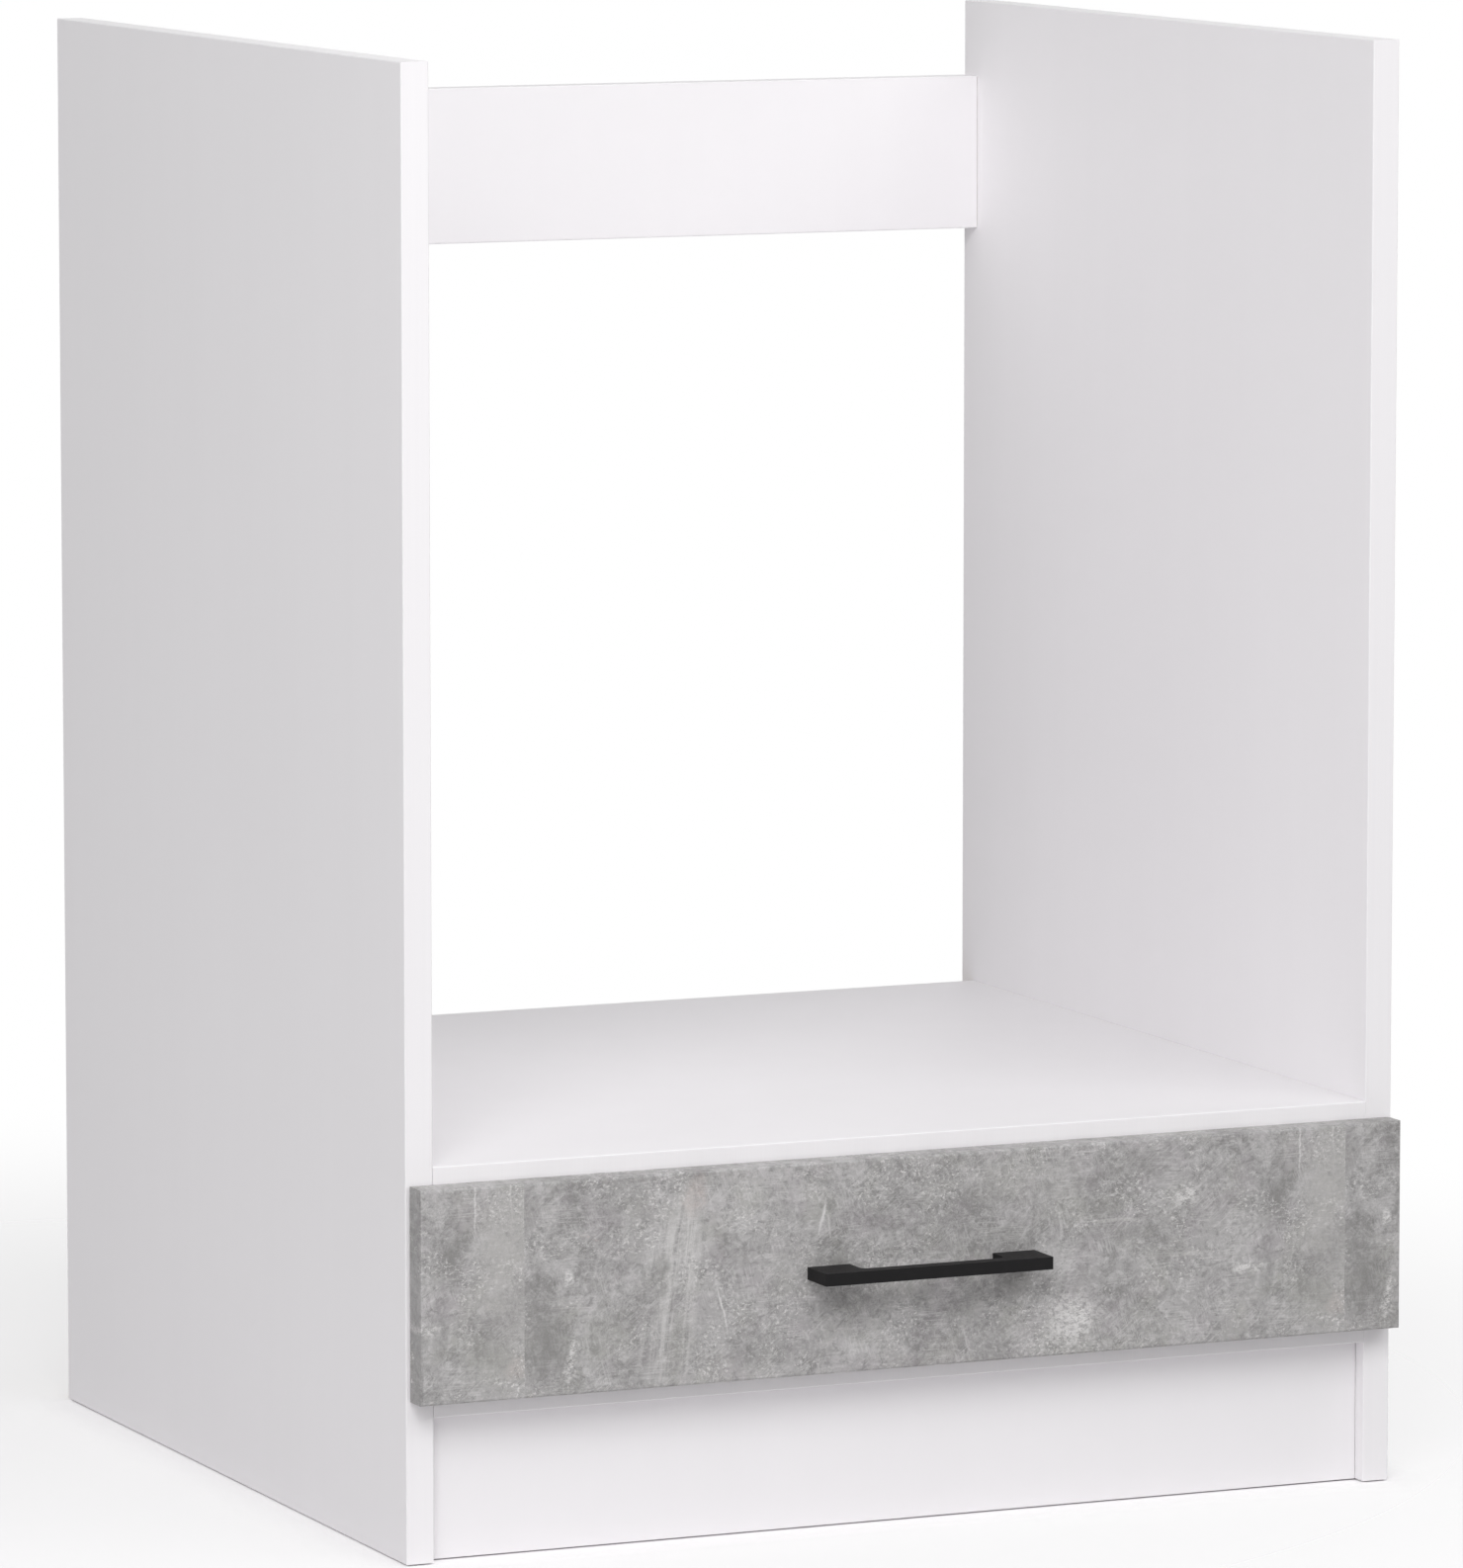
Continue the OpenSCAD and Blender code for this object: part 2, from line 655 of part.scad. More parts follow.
// Riveted axle: from z = 0 through the sheet, a shoulder, the roller's place and a head
module axle(shoulder, length) {
    r = axle_d / 2;
    wide = r + shoulder_t;
    turned([
        [0, 0], [r, 0], [r, steel_t], [wide, steel_t], [wide, shoulder], [r, shoulder], [r, length],
        [wide, length], [wide, length + axle_head / 2], [r, length + axle_head], [0, length + axle_head]
    ]);
}

// Axles of the cabinet runners' rollers, riveted in the webs
module front_roller_axles() {
    color(zinc) both_sides() to_right([-x_in, y_front_axle, z_front_axle])
        axle(roller_in - axle_gap, roller_out + axle_gap);
}

module front_roller() { to_right([x_rollers, y_front_axle, z_front_axle]) roller(roller_r); }
module front_roller_left() { color(nylon) front_roller(); }
module front_roller_right() { color(nylon) mirror([1, 0, 0]) front_roller(); }

// Drawer front: rounded round its face, grooved at the back for the drawer's bottom
module drawer_front() {
    color(concrete) difference() {
        translate([-front_w / 2, y_front, z_front]) cube([front_w, front_t, front_h]);
        both_sides() translate([-front_w / 2, y_front, z_front]) arris_cut(front_h, front_r);
        translate([-front_w / 2, y_front, z_front]) rotate([90, 0, 90]) arris_cut(front_w, front_r);
        translate([-front_w / 2, y_front, z_front + front_h]) rotate([90, 0, 90])
            mirror([0, 1, 0]) arris_cut(front_w, front_r);
        translate([-drawer_in_w / 2 - groove_deep, y_box - groove_deep, z_groove])
            cube([drawer_in_w + 2 * groove_deep, groove_deep + cut, groove_h]);
        both_sides() {
            for (z = z_drawer_bolts) to_front([x_drawer_side, y_box, z]) face_bore(bolt_r);
            to_front([x_drawer_side, y_box, z_drawer_dowel]) face_bore(drawer_dowel_d / 2);
            to_front([-handle_pitch / 2, y_box + cut, z_handle])
                cylinder(r = handle_screw_d / 2 + handle_hole_room, h = front_t + 2 * cut);
        }
    }
}

// Soft dots behind the drawer front, which land on the side panels' edges
module front_bumpers() {
    color("#DDDDDA") both_sides() for (z = [z_front + bumper_edge, z_front + front_h - bumper_edge])
        to_back([-cab_w / 2 + board_t / 2, y_box, z]) cylinder(d = bumper_d, h = front_gap - 0.1);
}

// Flat bracket handle, in plan: a bar on two feet, with rounded inner corners
module handle_outline() {
    gap = handle_l - 2 * handle_foot;
    deep = handle_reach - handle_bar;
    r = handle_fillet;
    difference() {
        union() {
            translate([-handle_l / 2, handle_r]) square([handle_l, handle_reach - handle_r]);
            translate([handle_r - handle_l / 2, 0]) square([handle_l - 2 * handle_r, handle_reach]);
            for (s = [-1, 1]) translate([s * (handle_l / 2 - handle_r), handle_r]) circle(r = handle_r);
        }
        translate([-gap / 2, handle_bar + r]) square([gap, deep - r + cut]);
        translate([r - gap / 2, handle_bar]) square([gap - 2 * r, deep + cut]);
        for (s = [-1, 1]) translate([s * (gap / 2 - r), handle_bar + r]) circle(r = r);
    }
}

module handle() {
    y_handle = y_front - handle_reach;
    color(black) difference() {
        translate([0, y_handle, z_handle - handle_h / 2]) linear_extrude(handle_h) handle_outline();
        both_sides() to_front([-handle_pitch / 2, y_front + cut, z_handle])
            cylinder(r = handle_screw_d / 2 + fit, h = handle_screw_in + 1 + cut);
    }
}

// Machine screws that hold the handle, with their heads inside the drawer
module handle_screws() {
    r = handle_screw_d / 2;
    low = -front_t - handle_screw_in;
    rim = handle_head_d / 2;
    color(zinc) both_sides() to_back([-handle_pitch / 2, y_box, z_handle]) turned([
        [0, low], [r - 0.5, low], [r, low + 0.5], [r, 0], [rim, 0],
        [rim, handle_head_h * 0.4], [rim * 0.6, handle_head_h], [0, handle_head_h]
    ]);
}

// Section of a foil-wrapped drawer board, square below and rounded above
module drawer_section(height) {
    r = drawer_r;
    square([drawer_t, height - r]);
    translate([r, 0]) square([drawer_t - 2 * r, height]);
    for (u = [r, drawer_t - r]) translate([u, height - r]) circle(r = r);
}

// Left side of the drawer, grooved for the bottom, with cam pockets in its inner face
module drawer_side() {
    x_inner = -drawer_in_w / 2;
    pocket = drawer_t - cam_wall;
    difference() {
        translate([-drawer_w / 2, y_box + drawer_l, z_box]) rotate([90, 0, 0])
            linear_extrude(drawer_l) drawer_section(box_h);
        translate([x_inner - groove_deep, y_box - cut, z_groove])
            cube([groove_deep + cut, drawer_l + 2 * cut, groove_h]);
        for (z = z_drawer_bolts) {
            to_back([x_drawer_side, y_box - cut, z]) cylinder(r = bolt_hole_r, h = drawer_cam_reach + cut);
            to_left([x_inner + cut, y_box + drawer_cam_reach, z]) cylinder(d = cam_d, h = pocket + cut);
        }
        to_back([x_drawer_side, y_box - cut, z_drawer_dowel])
            cylinder(r = drawer_dowel_d / 2 + fit, h = drawer_dowel_end + cut);
        for (z = z_back_screws) to_left([-drawer_w / 2, y_back_screws, z]) flat_screw_seat(back_screw_l);
        for (y = hanger_screw_y) translate([x_drawer_side, y, z_box]) rotate([180, 0, 0])
            pilot(hanger_screw_l - steel_t);
    }
}

module drawer_side_left() { color(white) drawer_side(); }
module drawer_side_right() { color(white) mirror([1, 0, 0]) drawer_side(); }

// Back of the drawer: stands on the fibreboard between the sides
module drawer_back() {
    color(white) difference() {
        translate([-drawer_in_w / 2, y_drawer_back + drawer_t, z_back]) rotate([90, 0, 90])
            mirror([1, 0, 0]) linear_extrude(drawer_in_w) drawer_section(z_box + box_h - z_back);
        both_sides() for (z = z_back_screws)
            to_left([-drawer_w / 2, y_back_screws, z]) pilot(back_screw_l);
        bottom_screw_places() pilot(bottom_screw_l);
    }
}

// Fibreboard bottom, in the grooves of the sides and the front, under the back
module drawer_bottom() {
    color(hdf) difference() {
        translate([-drawer_in_w / 2 - hdf_in, y_box - hdf_in, z_hdf])
            cube([drawer_in_w + 2 * hdf_in, drawer_l + hdf_in, hdf_t]);
        bottom_screw_places() pilot(bottom_screw_l);
    }
}

// Draws a screw or its hole at each place under the drawer's back, pointing up
module bottom_screw_places() {
    for (x = bottom_screw_x) translate([x, y_back_screws, z_hdf]) rotate([180, 0, 0]) children();
}

module drawer_fitting_bolts() {
    color(zinc) both_sides() for (z = z_drawer_bolts)
        to_back([x_drawer_side, y_box, z]) fitting_bolt(drawer_cam_reach);
}

module drawer_cam_locks() {
    deep = drawer_t - cam_wall - 0.1;
    color(zinc) both_sides() for (z = z_drawer_bolts)
        translate([-drawer_in_w / 2, y_box + drawer_cam_reach, z]) rotate([0, 90, 0])
            rotate(-90) cam_lock(deep);
}

module drawer_dowels() {
    middle = (drawer_dowel_end - face_deep) / 2;
    color(beech) both_sides()
        to_back([x_drawer_side, y_box + middle, z_drawer_dowel]) dowel(drawer_dowel_d, drawer_dowel_l);
}

module drawer_back_screws() {
    color(zinc) both_sides() for (z = z_back_screws)
        to_left([-drawer_w / 2, y_back_screws, z]) flat_screw(back_screw_l);
}

module drawer_bottom_screws() { color(zinc) bottom_screw_places() pan_screw(bottom_screw_l); }

// Section of the drawer runner: a foot under the drawer's side, a web beside it and a wing outwards
module hanger_outline(with_wing) {
    t = steel_t;
    top = z_wing + t - z_foot;
    translate([t, 0]) square([drawer_t, t]);
    translate([t, t]) rotate(180) bend();
    translate([0, t]) square([t, top - 2 * t]);
    if (with_wing) {
        translate([0, top - t]) bend();
        translate([t - wing_w, top - t]) square([wing_w - t, t]);
    } else {
        translate([0, top - t]) square([t, t]);
    }
}

// Drawer runner on the left side of the drawer: its wing ends before the rear roller
module drawer_runner() {
    y_end = y_box + drawer_l;
    wing_end = y_rear_axle - rear_roller_r - 1.5;
    web_cut = steel_t + 2 * cut;
    difference() {
        union() {
            translate([-drawer_w / 2 - steel_t, wing_end, z_foot]) rotate([90, 0, 0])
                linear_extrude(wing_end - y_box - hanger_inset) hanger_outline(true);
            translate([-drawer_w / 2 - steel_t, y_end, z_foot]) rotate([90, 0, 0])
                linear_extrude(y_end - wing_end) hanger_outline(false);
        }
        for (y = hanger_screw_y)
            translate([x_drawer_side, y, z_foot - cut]) cylinder(r = hole_r, h = web_cut);
        to_right([-drawer_w / 2 - steel_t - cut, y_rear_axle, z_rear_axle])
            cylinder(r = axle_d / 2 + fit, h = web_cut);
    }
}

module drawer_runner_left() { color(runner_white) drawer_runner(); }
module drawer_runner_right() { color(runner_white) mirror([1, 0, 0]) drawer_runner(); }

module drawer_runner_screws() {
    color(zinc) both_sides() for (y = hanger_screw_y)
        translate([x_drawer_side, y, z_foot]) rotate([180, 0, 0]) pan_screw(hanger_screw_l);
}

// Axles of the drawer runners' rollers, riveted in the webs
module rear_roller_axles() {
    color(zinc) both_sides() to_left([-drawer_w / 2, y_rear_axle, z_rear_axle])
        axle(runner_gap - roller_out - axle_gap, runner_gap - roller_in + axle_gap);
}

module rear_roller() { to_right([x_rollers, y_rear_axle, z_rear_axle]) roller(rear_roller_r); }
module rear_roller_left() { color(nylon) rear_roller(); }
module rear_roller_right() { color(nylon) mirror([1, 0, 0]) rear_roller(); }

left_side_panel();
right_side_panel();
bottom_panel();
oven_shelf();
rear_rail();
plinth_board();
edge_bands();
fitting_bolts();
cam_locks();
carcass_dowels();
plinth_blocks();
plinth_block_screws();
cabinet_runner_left();
cabinet_runner_right();
cabinet_runner_screws();
front_roller_axles();
front_roller_left();
front_roller_right();
drawer_front();
front_bumpers();
handle();
handle_screws();
drawer_side_left();
drawer_side_right();
drawer_back();
drawer_bottom();
drawer_fitting_bolts();
drawer_cam_locks();
drawer_dowels();
drawer_back_screws();
drawer_bottom_screws();
drawer_runner_left();
drawer_runner_right();
drawer_runner_screws();
rear_roller_axles();
rear_roller_left();
rear_roller_right();
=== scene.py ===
import logging
import math
from dataclasses import dataclass, field
from enum import Enum

import bmesh
import bpy
from mathutils import Matrix, Vector


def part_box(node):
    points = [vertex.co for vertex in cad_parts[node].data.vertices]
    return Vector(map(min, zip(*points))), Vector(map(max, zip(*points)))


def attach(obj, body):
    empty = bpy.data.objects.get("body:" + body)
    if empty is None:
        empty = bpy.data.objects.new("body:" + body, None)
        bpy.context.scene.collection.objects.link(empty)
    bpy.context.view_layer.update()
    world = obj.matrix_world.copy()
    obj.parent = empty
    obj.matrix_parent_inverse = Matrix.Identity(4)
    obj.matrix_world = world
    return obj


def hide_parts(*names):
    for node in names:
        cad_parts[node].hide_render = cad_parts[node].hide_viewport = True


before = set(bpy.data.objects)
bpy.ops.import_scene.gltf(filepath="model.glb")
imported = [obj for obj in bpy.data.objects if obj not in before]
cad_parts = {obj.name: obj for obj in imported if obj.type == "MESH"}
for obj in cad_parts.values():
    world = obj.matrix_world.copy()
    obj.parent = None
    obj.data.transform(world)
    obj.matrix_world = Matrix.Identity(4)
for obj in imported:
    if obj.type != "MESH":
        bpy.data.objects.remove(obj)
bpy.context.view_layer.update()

Socket = bpy.types.NodeSocket
Material = bpy.types.Material
Piece = bpy.types.Object
Vec3 = tuple[float, float, float]

LOG = logging.getLogger("cabinet")
MM = 0.001
# Below this height the cut edges of a board stand near the floor and are sealed
PLINTH_TOP_M = 0.08
# Corners this near are one, and faces this near parallel are one flat
DOUBLES_MM = 0.002
FLAT_DEG = 0.6
# An edge is an arris from this angle on, and along a side from this length on
ARRIS_DEG = 35
LONG_MM = 15
# An edge is shaded sharp from this angle on
SHARP_DEG = 32
# A face lies on the outside within TOUCH_MM of it, and is a hole's wall beyond CLEAR_MM
TOUCH_MM = 0.02
CLEAR_MM = 0.1
# A face looks along an axis when its normal has this share of it
ALONG = 0.9


# Small tools that every class uses


def linear(colour: str) -> tuple[float, float, float, float]:
    """Turns an sRGB hex colour into linear light.

    Args:
        colour: Six hex digits after a hash sign.

    Returns:
        Red, green and blue in linear light, and an alpha of one.
    """
    parts = [int(colour[i:i + 2], 16) / 255 for i in (1, 3, 5)]
    red, green, blue = (p / 12.92 if p <= 0.04045 else ((p + 0.055) / 1.055) ** 2.4 for p in parts)
    return red, green, blue, 1.0


def add_node(tree: bpy.types.NodeTree, kind: str, inputs: dict | None = None,
             **settings: object) -> bpy.types.Node:
    """Adds one node to a tree with its settings, values and links.

    Args:
        tree: The shader or geometry tree.
        kind: The node's type name.
        inputs: Socket name or number to a value, or to the socket that feeds it.
        settings: Properties of the node itself.

    Returns:
        The new node.
    """
    node = tree.nodes.new(kind)
    for name, value in settings.items():
        setattr(node, name, value)
    for key, value in (inputs or {}).items():
        if isinstance(value, Socket):
            tree.links.new(value, node.inputs[key])
        else:
            node.inputs[key].default_value = value
    return node


class Axis(Enum):
    """An axis of the cabinet: X across, Y to the back and Z up."""

    X = 0
    Y = 1
    Z = 2


def put(name: str, data: bpy.types.ID) -> Piece:
    """Puts an object into the scene.

    Args:
        name: Its name.
        data: Its mesh, lamp or camera.

    Returns:
        The object.
    """
    thing = bpy.data.objects.new(name, data)
    bpy.context.scene.collection.objects.link(thing)
    return thing


# Finishes


class Coat:
    """A material under construction: patterns in millimetres are laid over each other."""

    # How far the rounded normal leans off the flat one, as a cosine, where wear starts and where it is full
    WEAR_STARTS = 0.995
    WEAR_FULL = 0.80
    WEAR_SAMPLES = 4

    def __init__(self, name: str, colour: str, settings: dict[str, float]) -> None:
        """Starts a material on a Principled shader.

        Args:
            name: The material's name.
            colour: Its ground colour in sRGB hex.
            settings: The shader's constants by socket name.
        """
        self.material = bpy.data.materials.new(name)
        self.material.use_nodes = True
        self.material.diffuse_color = linear(colour)
        self.tree = self.material.node_tree
        self.shader = self.tree.nodes["Principled BSDF"]
        self.shader.inputs["Base Color"].default_value = linear(colour)
        for socket, value in settings.items():
            self.shader.inputs[socket].default_value = value
        self.place = add_node(self.tree, "ShaderNodeTexCoord").outputs["Object"]
        self.ground = linear(colour)
        self.colour: Socket | None = None
        self.normal: Socket | None = None

    def stretched(self, size: Vec3 | float, turn: Vec3 = (0, 0, 0), shift: Vec3 = (0, 0, 0)) -> Socket:
        """Gives coordinates in which one unit is the pattern's size along each axis.

        Args:
            size: The pattern's size in millimetres, one for all axes or one each.
            turn: A rotation of the pattern in degrees.
            shift: Where the pattern starts, in pattern units.

        Returns:
            The coordinate socket.
        """
        sizes = size if isinstance(size, tuple) else (size,) * 3
        turned = add_node(self.tree, "ShaderNodeMapping", {
            "Vector": self.place, "Rotation": [math.radians(t) for t in turn]}).outputs[0]
        return add_node(self.tree, "ShaderNodeMapping", {
            "Vector": turned, "Scale": [1 / (s * MM) for s in sizes], "Location": shift}).outputs[0]

    def cloud(self, size: Vec3 | float, low: float = 0.3, high: float = 0.7, detail: float = 4.0,
              rough: float = 0.55, bend: float = 0.0, turn: Vec3 = (0, 0, 0),
              shift: Vec3 = (0, 0, 0)) -> Socket:
        """Makes a mask of soft irregular patches.

        Args:
            size: The patches' size in millimetres, one for all axes or one each.
            low: The noise value at which the mask is zero.
            high: The noise value at which the mask is one.
            detail: Octaves of finer noise.
            rough: How strong the finer noise is.
            bend: How much the patches are warped.
            turn: A rotation of the pattern in degrees.
            shift: Where the pattern starts, in pattern units.

        Returns:
            The mask from zero to one.
        """
        noise = add_node(self.tree, "ShaderNodeTexNoise", {
            "Vector": self.stretched(size, turn, shift), "Scale": 1.0, "Detail": detail, "Roughness": rough,
            "Distortion": bend}).outputs["Fac"]
        return add_node(self.tree, "ShaderNodeMapRange", {
            "Value": noise, "From Min": low, "From Max": high}).outputs["Result"]

    def specks(self, size: float, radius: float, share: float, shift: float = 0.0) -> Socket:
        """Makes a mask of small round specks, one at most in each cell.

        Args:
            size: The distance between cells in millimetres.
            radius: The largest speck's radius as a share of that distance.
            share: The share of the cells that hold a speck.
            shift: Where the pattern starts.

        Returns:
            The mask from zero to one.
        """
        cells = add_node(self.tree, "ShaderNodeTexVoronoi", {
            "Vector": self.stretched(size, shift=(shift,) * 3), "Scale": 1.0})
        pick = add_node(self.tree, "ShaderNodeSeparateColor", {"Color": cells.outputs["Color"]})
        chosen = add_node(self.tree, "ShaderNodeMath", {0: pick.outputs[0], 1: share}, operation="LESS_THAN")
        reach = add_node(self.tree, "ShaderNodeMath", {0: pick.outputs[1], 1: radius}, operation="MULTIPLY")
        inside = add_node(self.tree, "ShaderNodeMapRange", {
            "Value": cells.outputs["Distance"], "From Min": reach.outputs[0], "From Max": 0.0})
        return add_node(self.tree, "ShaderNodeMath", {0: chosen.outputs[0], 1: inside.outputs[0]},
                        operation="MULTIPLY", use_clamp=True).outputs[0]

    def wander(self, size: float, reach: float) -> None:
        """Warps the coordinates of every pattern that is laid after this.

        Args:
            size: The size of the warp's swirls in millimetres.
            reach: How far it carries a point, in millimetres.
        """
        swirl = add_node(self.tree, "ShaderNodeTexNoise", {
            "Vector": self.stretched(size), "Scale": 1.0, "Detail": 4.0, "Roughness": 0.6}).outputs["Color"]
        even = add_node(self.tree, "ShaderNodeVectorMath", {0: swirl, 1: (0.5,) * 3}, operation="SUBTRACT")
        self.place = add_node(self.tree, "ShaderNodeVectorMath", {
            0: even.outputs[0], 1: (2 * reach * MM,) * 3, 2: self.place}, operation="MULTIPLY_ADD").outputs[0]

    def spot(self, at: tuple[float, float], size: tuple[float, float], turn: float = 0.0,
             core: float = 0.3) -> Socket:
        """Makes a soft oval mask at one place, as seen from the front.

        Args:
            at: Its middle, X and Z in millimetres.
            size: Half its width and half its height in millimetres.
            turn: How far it leans to the right, in degrees.
            core: The share of the radius at which it has its full strength.

        Returns:
            The mask from zero to one.
        """
        local = add_node(self.tree, "ShaderNodeMapping", {
            "Vector": self.place, "Location": (at[0] * MM, 0, at[1] * MM),
            "Rotation": (0, math.radians(turn), 0), "Scale": (size[0] * MM, 1.0, size[1] * MM)},
            vector_type="TEXTURE").outputs[0]
        far = add_node(self.tree, "ShaderNodeVectorMath", {0: local}, operation="LENGTH").outputs["Value"]
        return add_node(self.tree, "ShaderNodeMapRange", {"Value": far, "From Min": 1.0, "From Max": core},
                        interpolation_type="SMOOTHSTEP").outputs[0]

    def both(self, first: Socket, second: Socket | float) -> Socket:
        """Returns the product of two masks, or of a mask and a number."""
        return add_node(self.tree, "ShaderNodeMath", {0: first, 1: second}, operation="MULTIPLY").outputs[0]

    def tint(self, mask: Socket, colour: str, strength: float) -> None:
        """Moves the colour towards another one where a mask says so.

        Args:
            mask: Where, from zero to one.
            colour: The other colour in sRGB hex.
            strength: How far, from zero to one.
        """
        under = self.colour if self.colour is not None else self.ground
        # A colour mix takes its two colours at inputs 6 and 7
        self.colour = add_node(self.tree, "ShaderNodeMix", {
            0: self.both(mask, strength), 6: under, 7: linear(colour)}, data_type="RGBA").outputs[2]

    def relief(self, height: Socket, depth: float) -> None:
        """Raises the surface where a mask is one.

        Args:
            height: The relief from zero to one.
            depth: Its height in millimetres.
        """
        links: dict = {"Height": height, "Distance": depth * MM, "Strength": 1.0}
        if self.normal is not None:
            links["Normal"] = self.normal
        self.normal = add_node(self.tree, "ShaderNodeBump", links).outputs[0]

    def gloss(self, mask: Socket, low: float, high: float) -> None:
        """Lets the roughness run from low to high with a mask."""
        self.tree.links.new(add_node(self.tree, "ShaderNodeMapRange", {
            "Value": mask, "To Min": low, "To Max": high}).outputs[0], self.shader.inputs["Roughness"])

    def worn(self, radius: float) -> Socket:
        """Makes a mask of the pieces' arrises.

        Args:
            radius: How far the wear reaches from an arris, in millimetres.

        Returns:
            The mask from zero to one.
        """
        bevel = add_node(self.tree, "ShaderNodeBevel", {"Radius": radius * MM},
                         samples=self.WEAR_SAMPLES).outputs[0]
        flat = add_node(self.tree, "ShaderNodeNewGeometry").outputs["Normal"]
        same = add_node(self.tree, "ShaderNodeVectorMath", {0: bevel, 1: flat}, operation="DOT_PRODUCT")
        return add_node(self.tree, "ShaderNodeMapRange", {
            "Value": same.outputs["Value"], "From Min": self.WEAR_STARTS,
            "From Max": self.WEAR_FULL}).outputs[0]

    def screen(self, size: float) -> Socket:
        """Makes a mask of slanting ribs, as a wire screen leaves them, this many millimetres wide."""
        return add_node(self.tree, "ShaderNodeTexWave", {"Vector": self.stretched(size), "Scale": 1.0},
                        bands_direction="DIAGONAL").outputs["Fac"]

    def done(self) -> Material:
        """Links the colour and the relief to the shader.

        Returns:
            The finished material.
        """
        if self.colour is not None:
            self.tree.links.new(self.colour, self.shader.inputs["Base Color"])
        if self.normal is not None:
            self.tree.links.new(self.normal, self.shader.inputs["Normal"])
        return self.material


class Weave(Enum):
    """What a layer's pattern is."""

    CLOUD = "soft irregular patches"
    ARRIS = "the pieces' arrises"
    SCREEN = "slanting ribs"


@dataclass(frozen=True)
class Layer:
    """One pattern of a finish, its size in millimetres, and what it does to colour, relief and gloss."""

    size: Vec3 | float
    low: float = 0.3
    high: float = 0.7
    detail: float = 4.0
    bend: float = 0.0
    shift: Vec3 = (0, 0, 0)
    weave: Weave = Weave.CLOUD
    colour: str = ""
    strength: float = 0.0
    depth_mm: float = 0.0
    gloss: tuple[float, float] | None = None

    def lay(self, coat: Coat) -> None:
        """Lays the pattern over what the coat has so far.

        Args:
            coat: The material under construction.
        """
        if self.weave is Weave.CLOUD:
            mask = coat.cloud(self.size, self.low, self.high, self.detail, bend=self.bend, shift=self.shift)
        else:
            mask = coat.worn(self.size) if self.weave is Weave.ARRIS else coat.screen(self.size)
        if self.colour:
            coat.tint(mask, self.colour, self.strength)
        if self.depth_mm:
            coat.relief(mask, self.depth_mm)
        if self.gloss:
            coat.gloss(mask, *self.gloss)


@dataclass(frozen=True)
class Finish:
    """A finish: its name, its ground colour, the shader's constants and its layers.

    The constants called inside say how light goes through the material, by the shader's socket names.
    """

    name: str
    colour: str
    roughness: float
    metallic: float = 0.0
    specular: float = 0.5
    inside: tuple[tuple[str, float], ...] = ()
    layers: tuple[Layer, ...] = ()

    def dress(self, coat: Coat) -> None:
        """Lays the finish's patterns over its ground colour.

        Args:
            coat: The material under construction.
        """
        for layer in self.layers:
            layer.lay(coat)

    def make(self) -> Material:
        """Builds the finish.

        Returns:
            The material.
        """
        coat = Coat(self.name, self.colour, {
            "Roughness": self.roughness, "Metallic": self.metallic, "Specular IOR Level": self.specular,
            **dict(self.inside)})
        self.dress(coat)
        return coat.done()


@dataclass(frozen=True)
class ChipboardCore(Finish):
    """Raw sawn edge of three-layer chipboard."""

    name: str = "chipboard_core"
    colour: str = "#CFB28A"
    roughness: float = 0.85
    specular: float = 0.2
    # A chip's length, its thickness as a share of that, and where the pores between chips start and are full
    chip_mm: float = 2.6
    chip_flat: float = 0.7
    pore_reach: tuple[float, float] = (0.55, 0.95)

    def dress(self, coat: Coat) -> None:
        """Lays the patterns.

        Args:
            coat: The material under construction.
        """
        # Flat pale and brown wood chips pressed together, with dark pores between the coarse ones.
        cells = add_node(coat.tree, "ShaderNodeTexVoronoi", {
            "Vector": coat.stretched((self.chip_mm, self.chip_mm, self.chip_mm * self.chip_flat)),
            "Scale": 1.0})
        pick = add_node(coat.tree, "ShaderNodeSeparateColor", {"Color": cells.outputs["Color"]})
        pores = add_node(coat.tree, "ShaderNodeMapRange", {
            "Value": cells.outputs["Distance"], "From Min": self.pore_reach[0],
            "From Max": self.pore_reach[1]}).outputs[0]
        dust = coat.cloud(0.6, detail=2)
        coat.tint(pick.outputs[0], "#E4CDA9", 0.75)
        coat.tint(coat.both(pick.outputs[1], pick.outputs[2]), "#AA855A", 0.75)
        coat.tint(dust, "#E2CBA6", 0.25)
        coat.tint(pores, "#6E5236", 0.65)
        coat.relief(pores, -0.25)
        coat.relief(dust, 0.05)


class Grain(Enum):
    """What a mark in the decor is made of."""

    SOFT = "soft"
    CRUST = "crust"
    STREAK = "streak"
    SHEER = "sheer"


class Tone(Enum):
    """The inks that the decor's marks are printed with."""

    DARK = "#858482"
    DUSK = "#8A8988"
    MOSS = "#A8A8A3"
    HAZE = "#B5B3B1"
    PALE = "#BDBBB9"
    CHALK = "#C8C6C4"
    LIME = "#D4D2D1"
    FROST = "#DEDCDC"
    WHITE = "#E4E2E1"
    ROSE = "#C3B7B2"


@dataclass(frozen=True)
class Mark:
    """One mark of the decor print, placed on the drawer front.

    It has its middle as X and Z and half its width and height, all in millimetres, how far it leans to the
    right in degrees, its ink, how strong the ink is, and what it is made of.
    """

    at: tuple[float, float]
    size: tuple[float, float]
    turn: float
    tone: Tone
    strength: float
    grain: Grain = Grain.SOFT


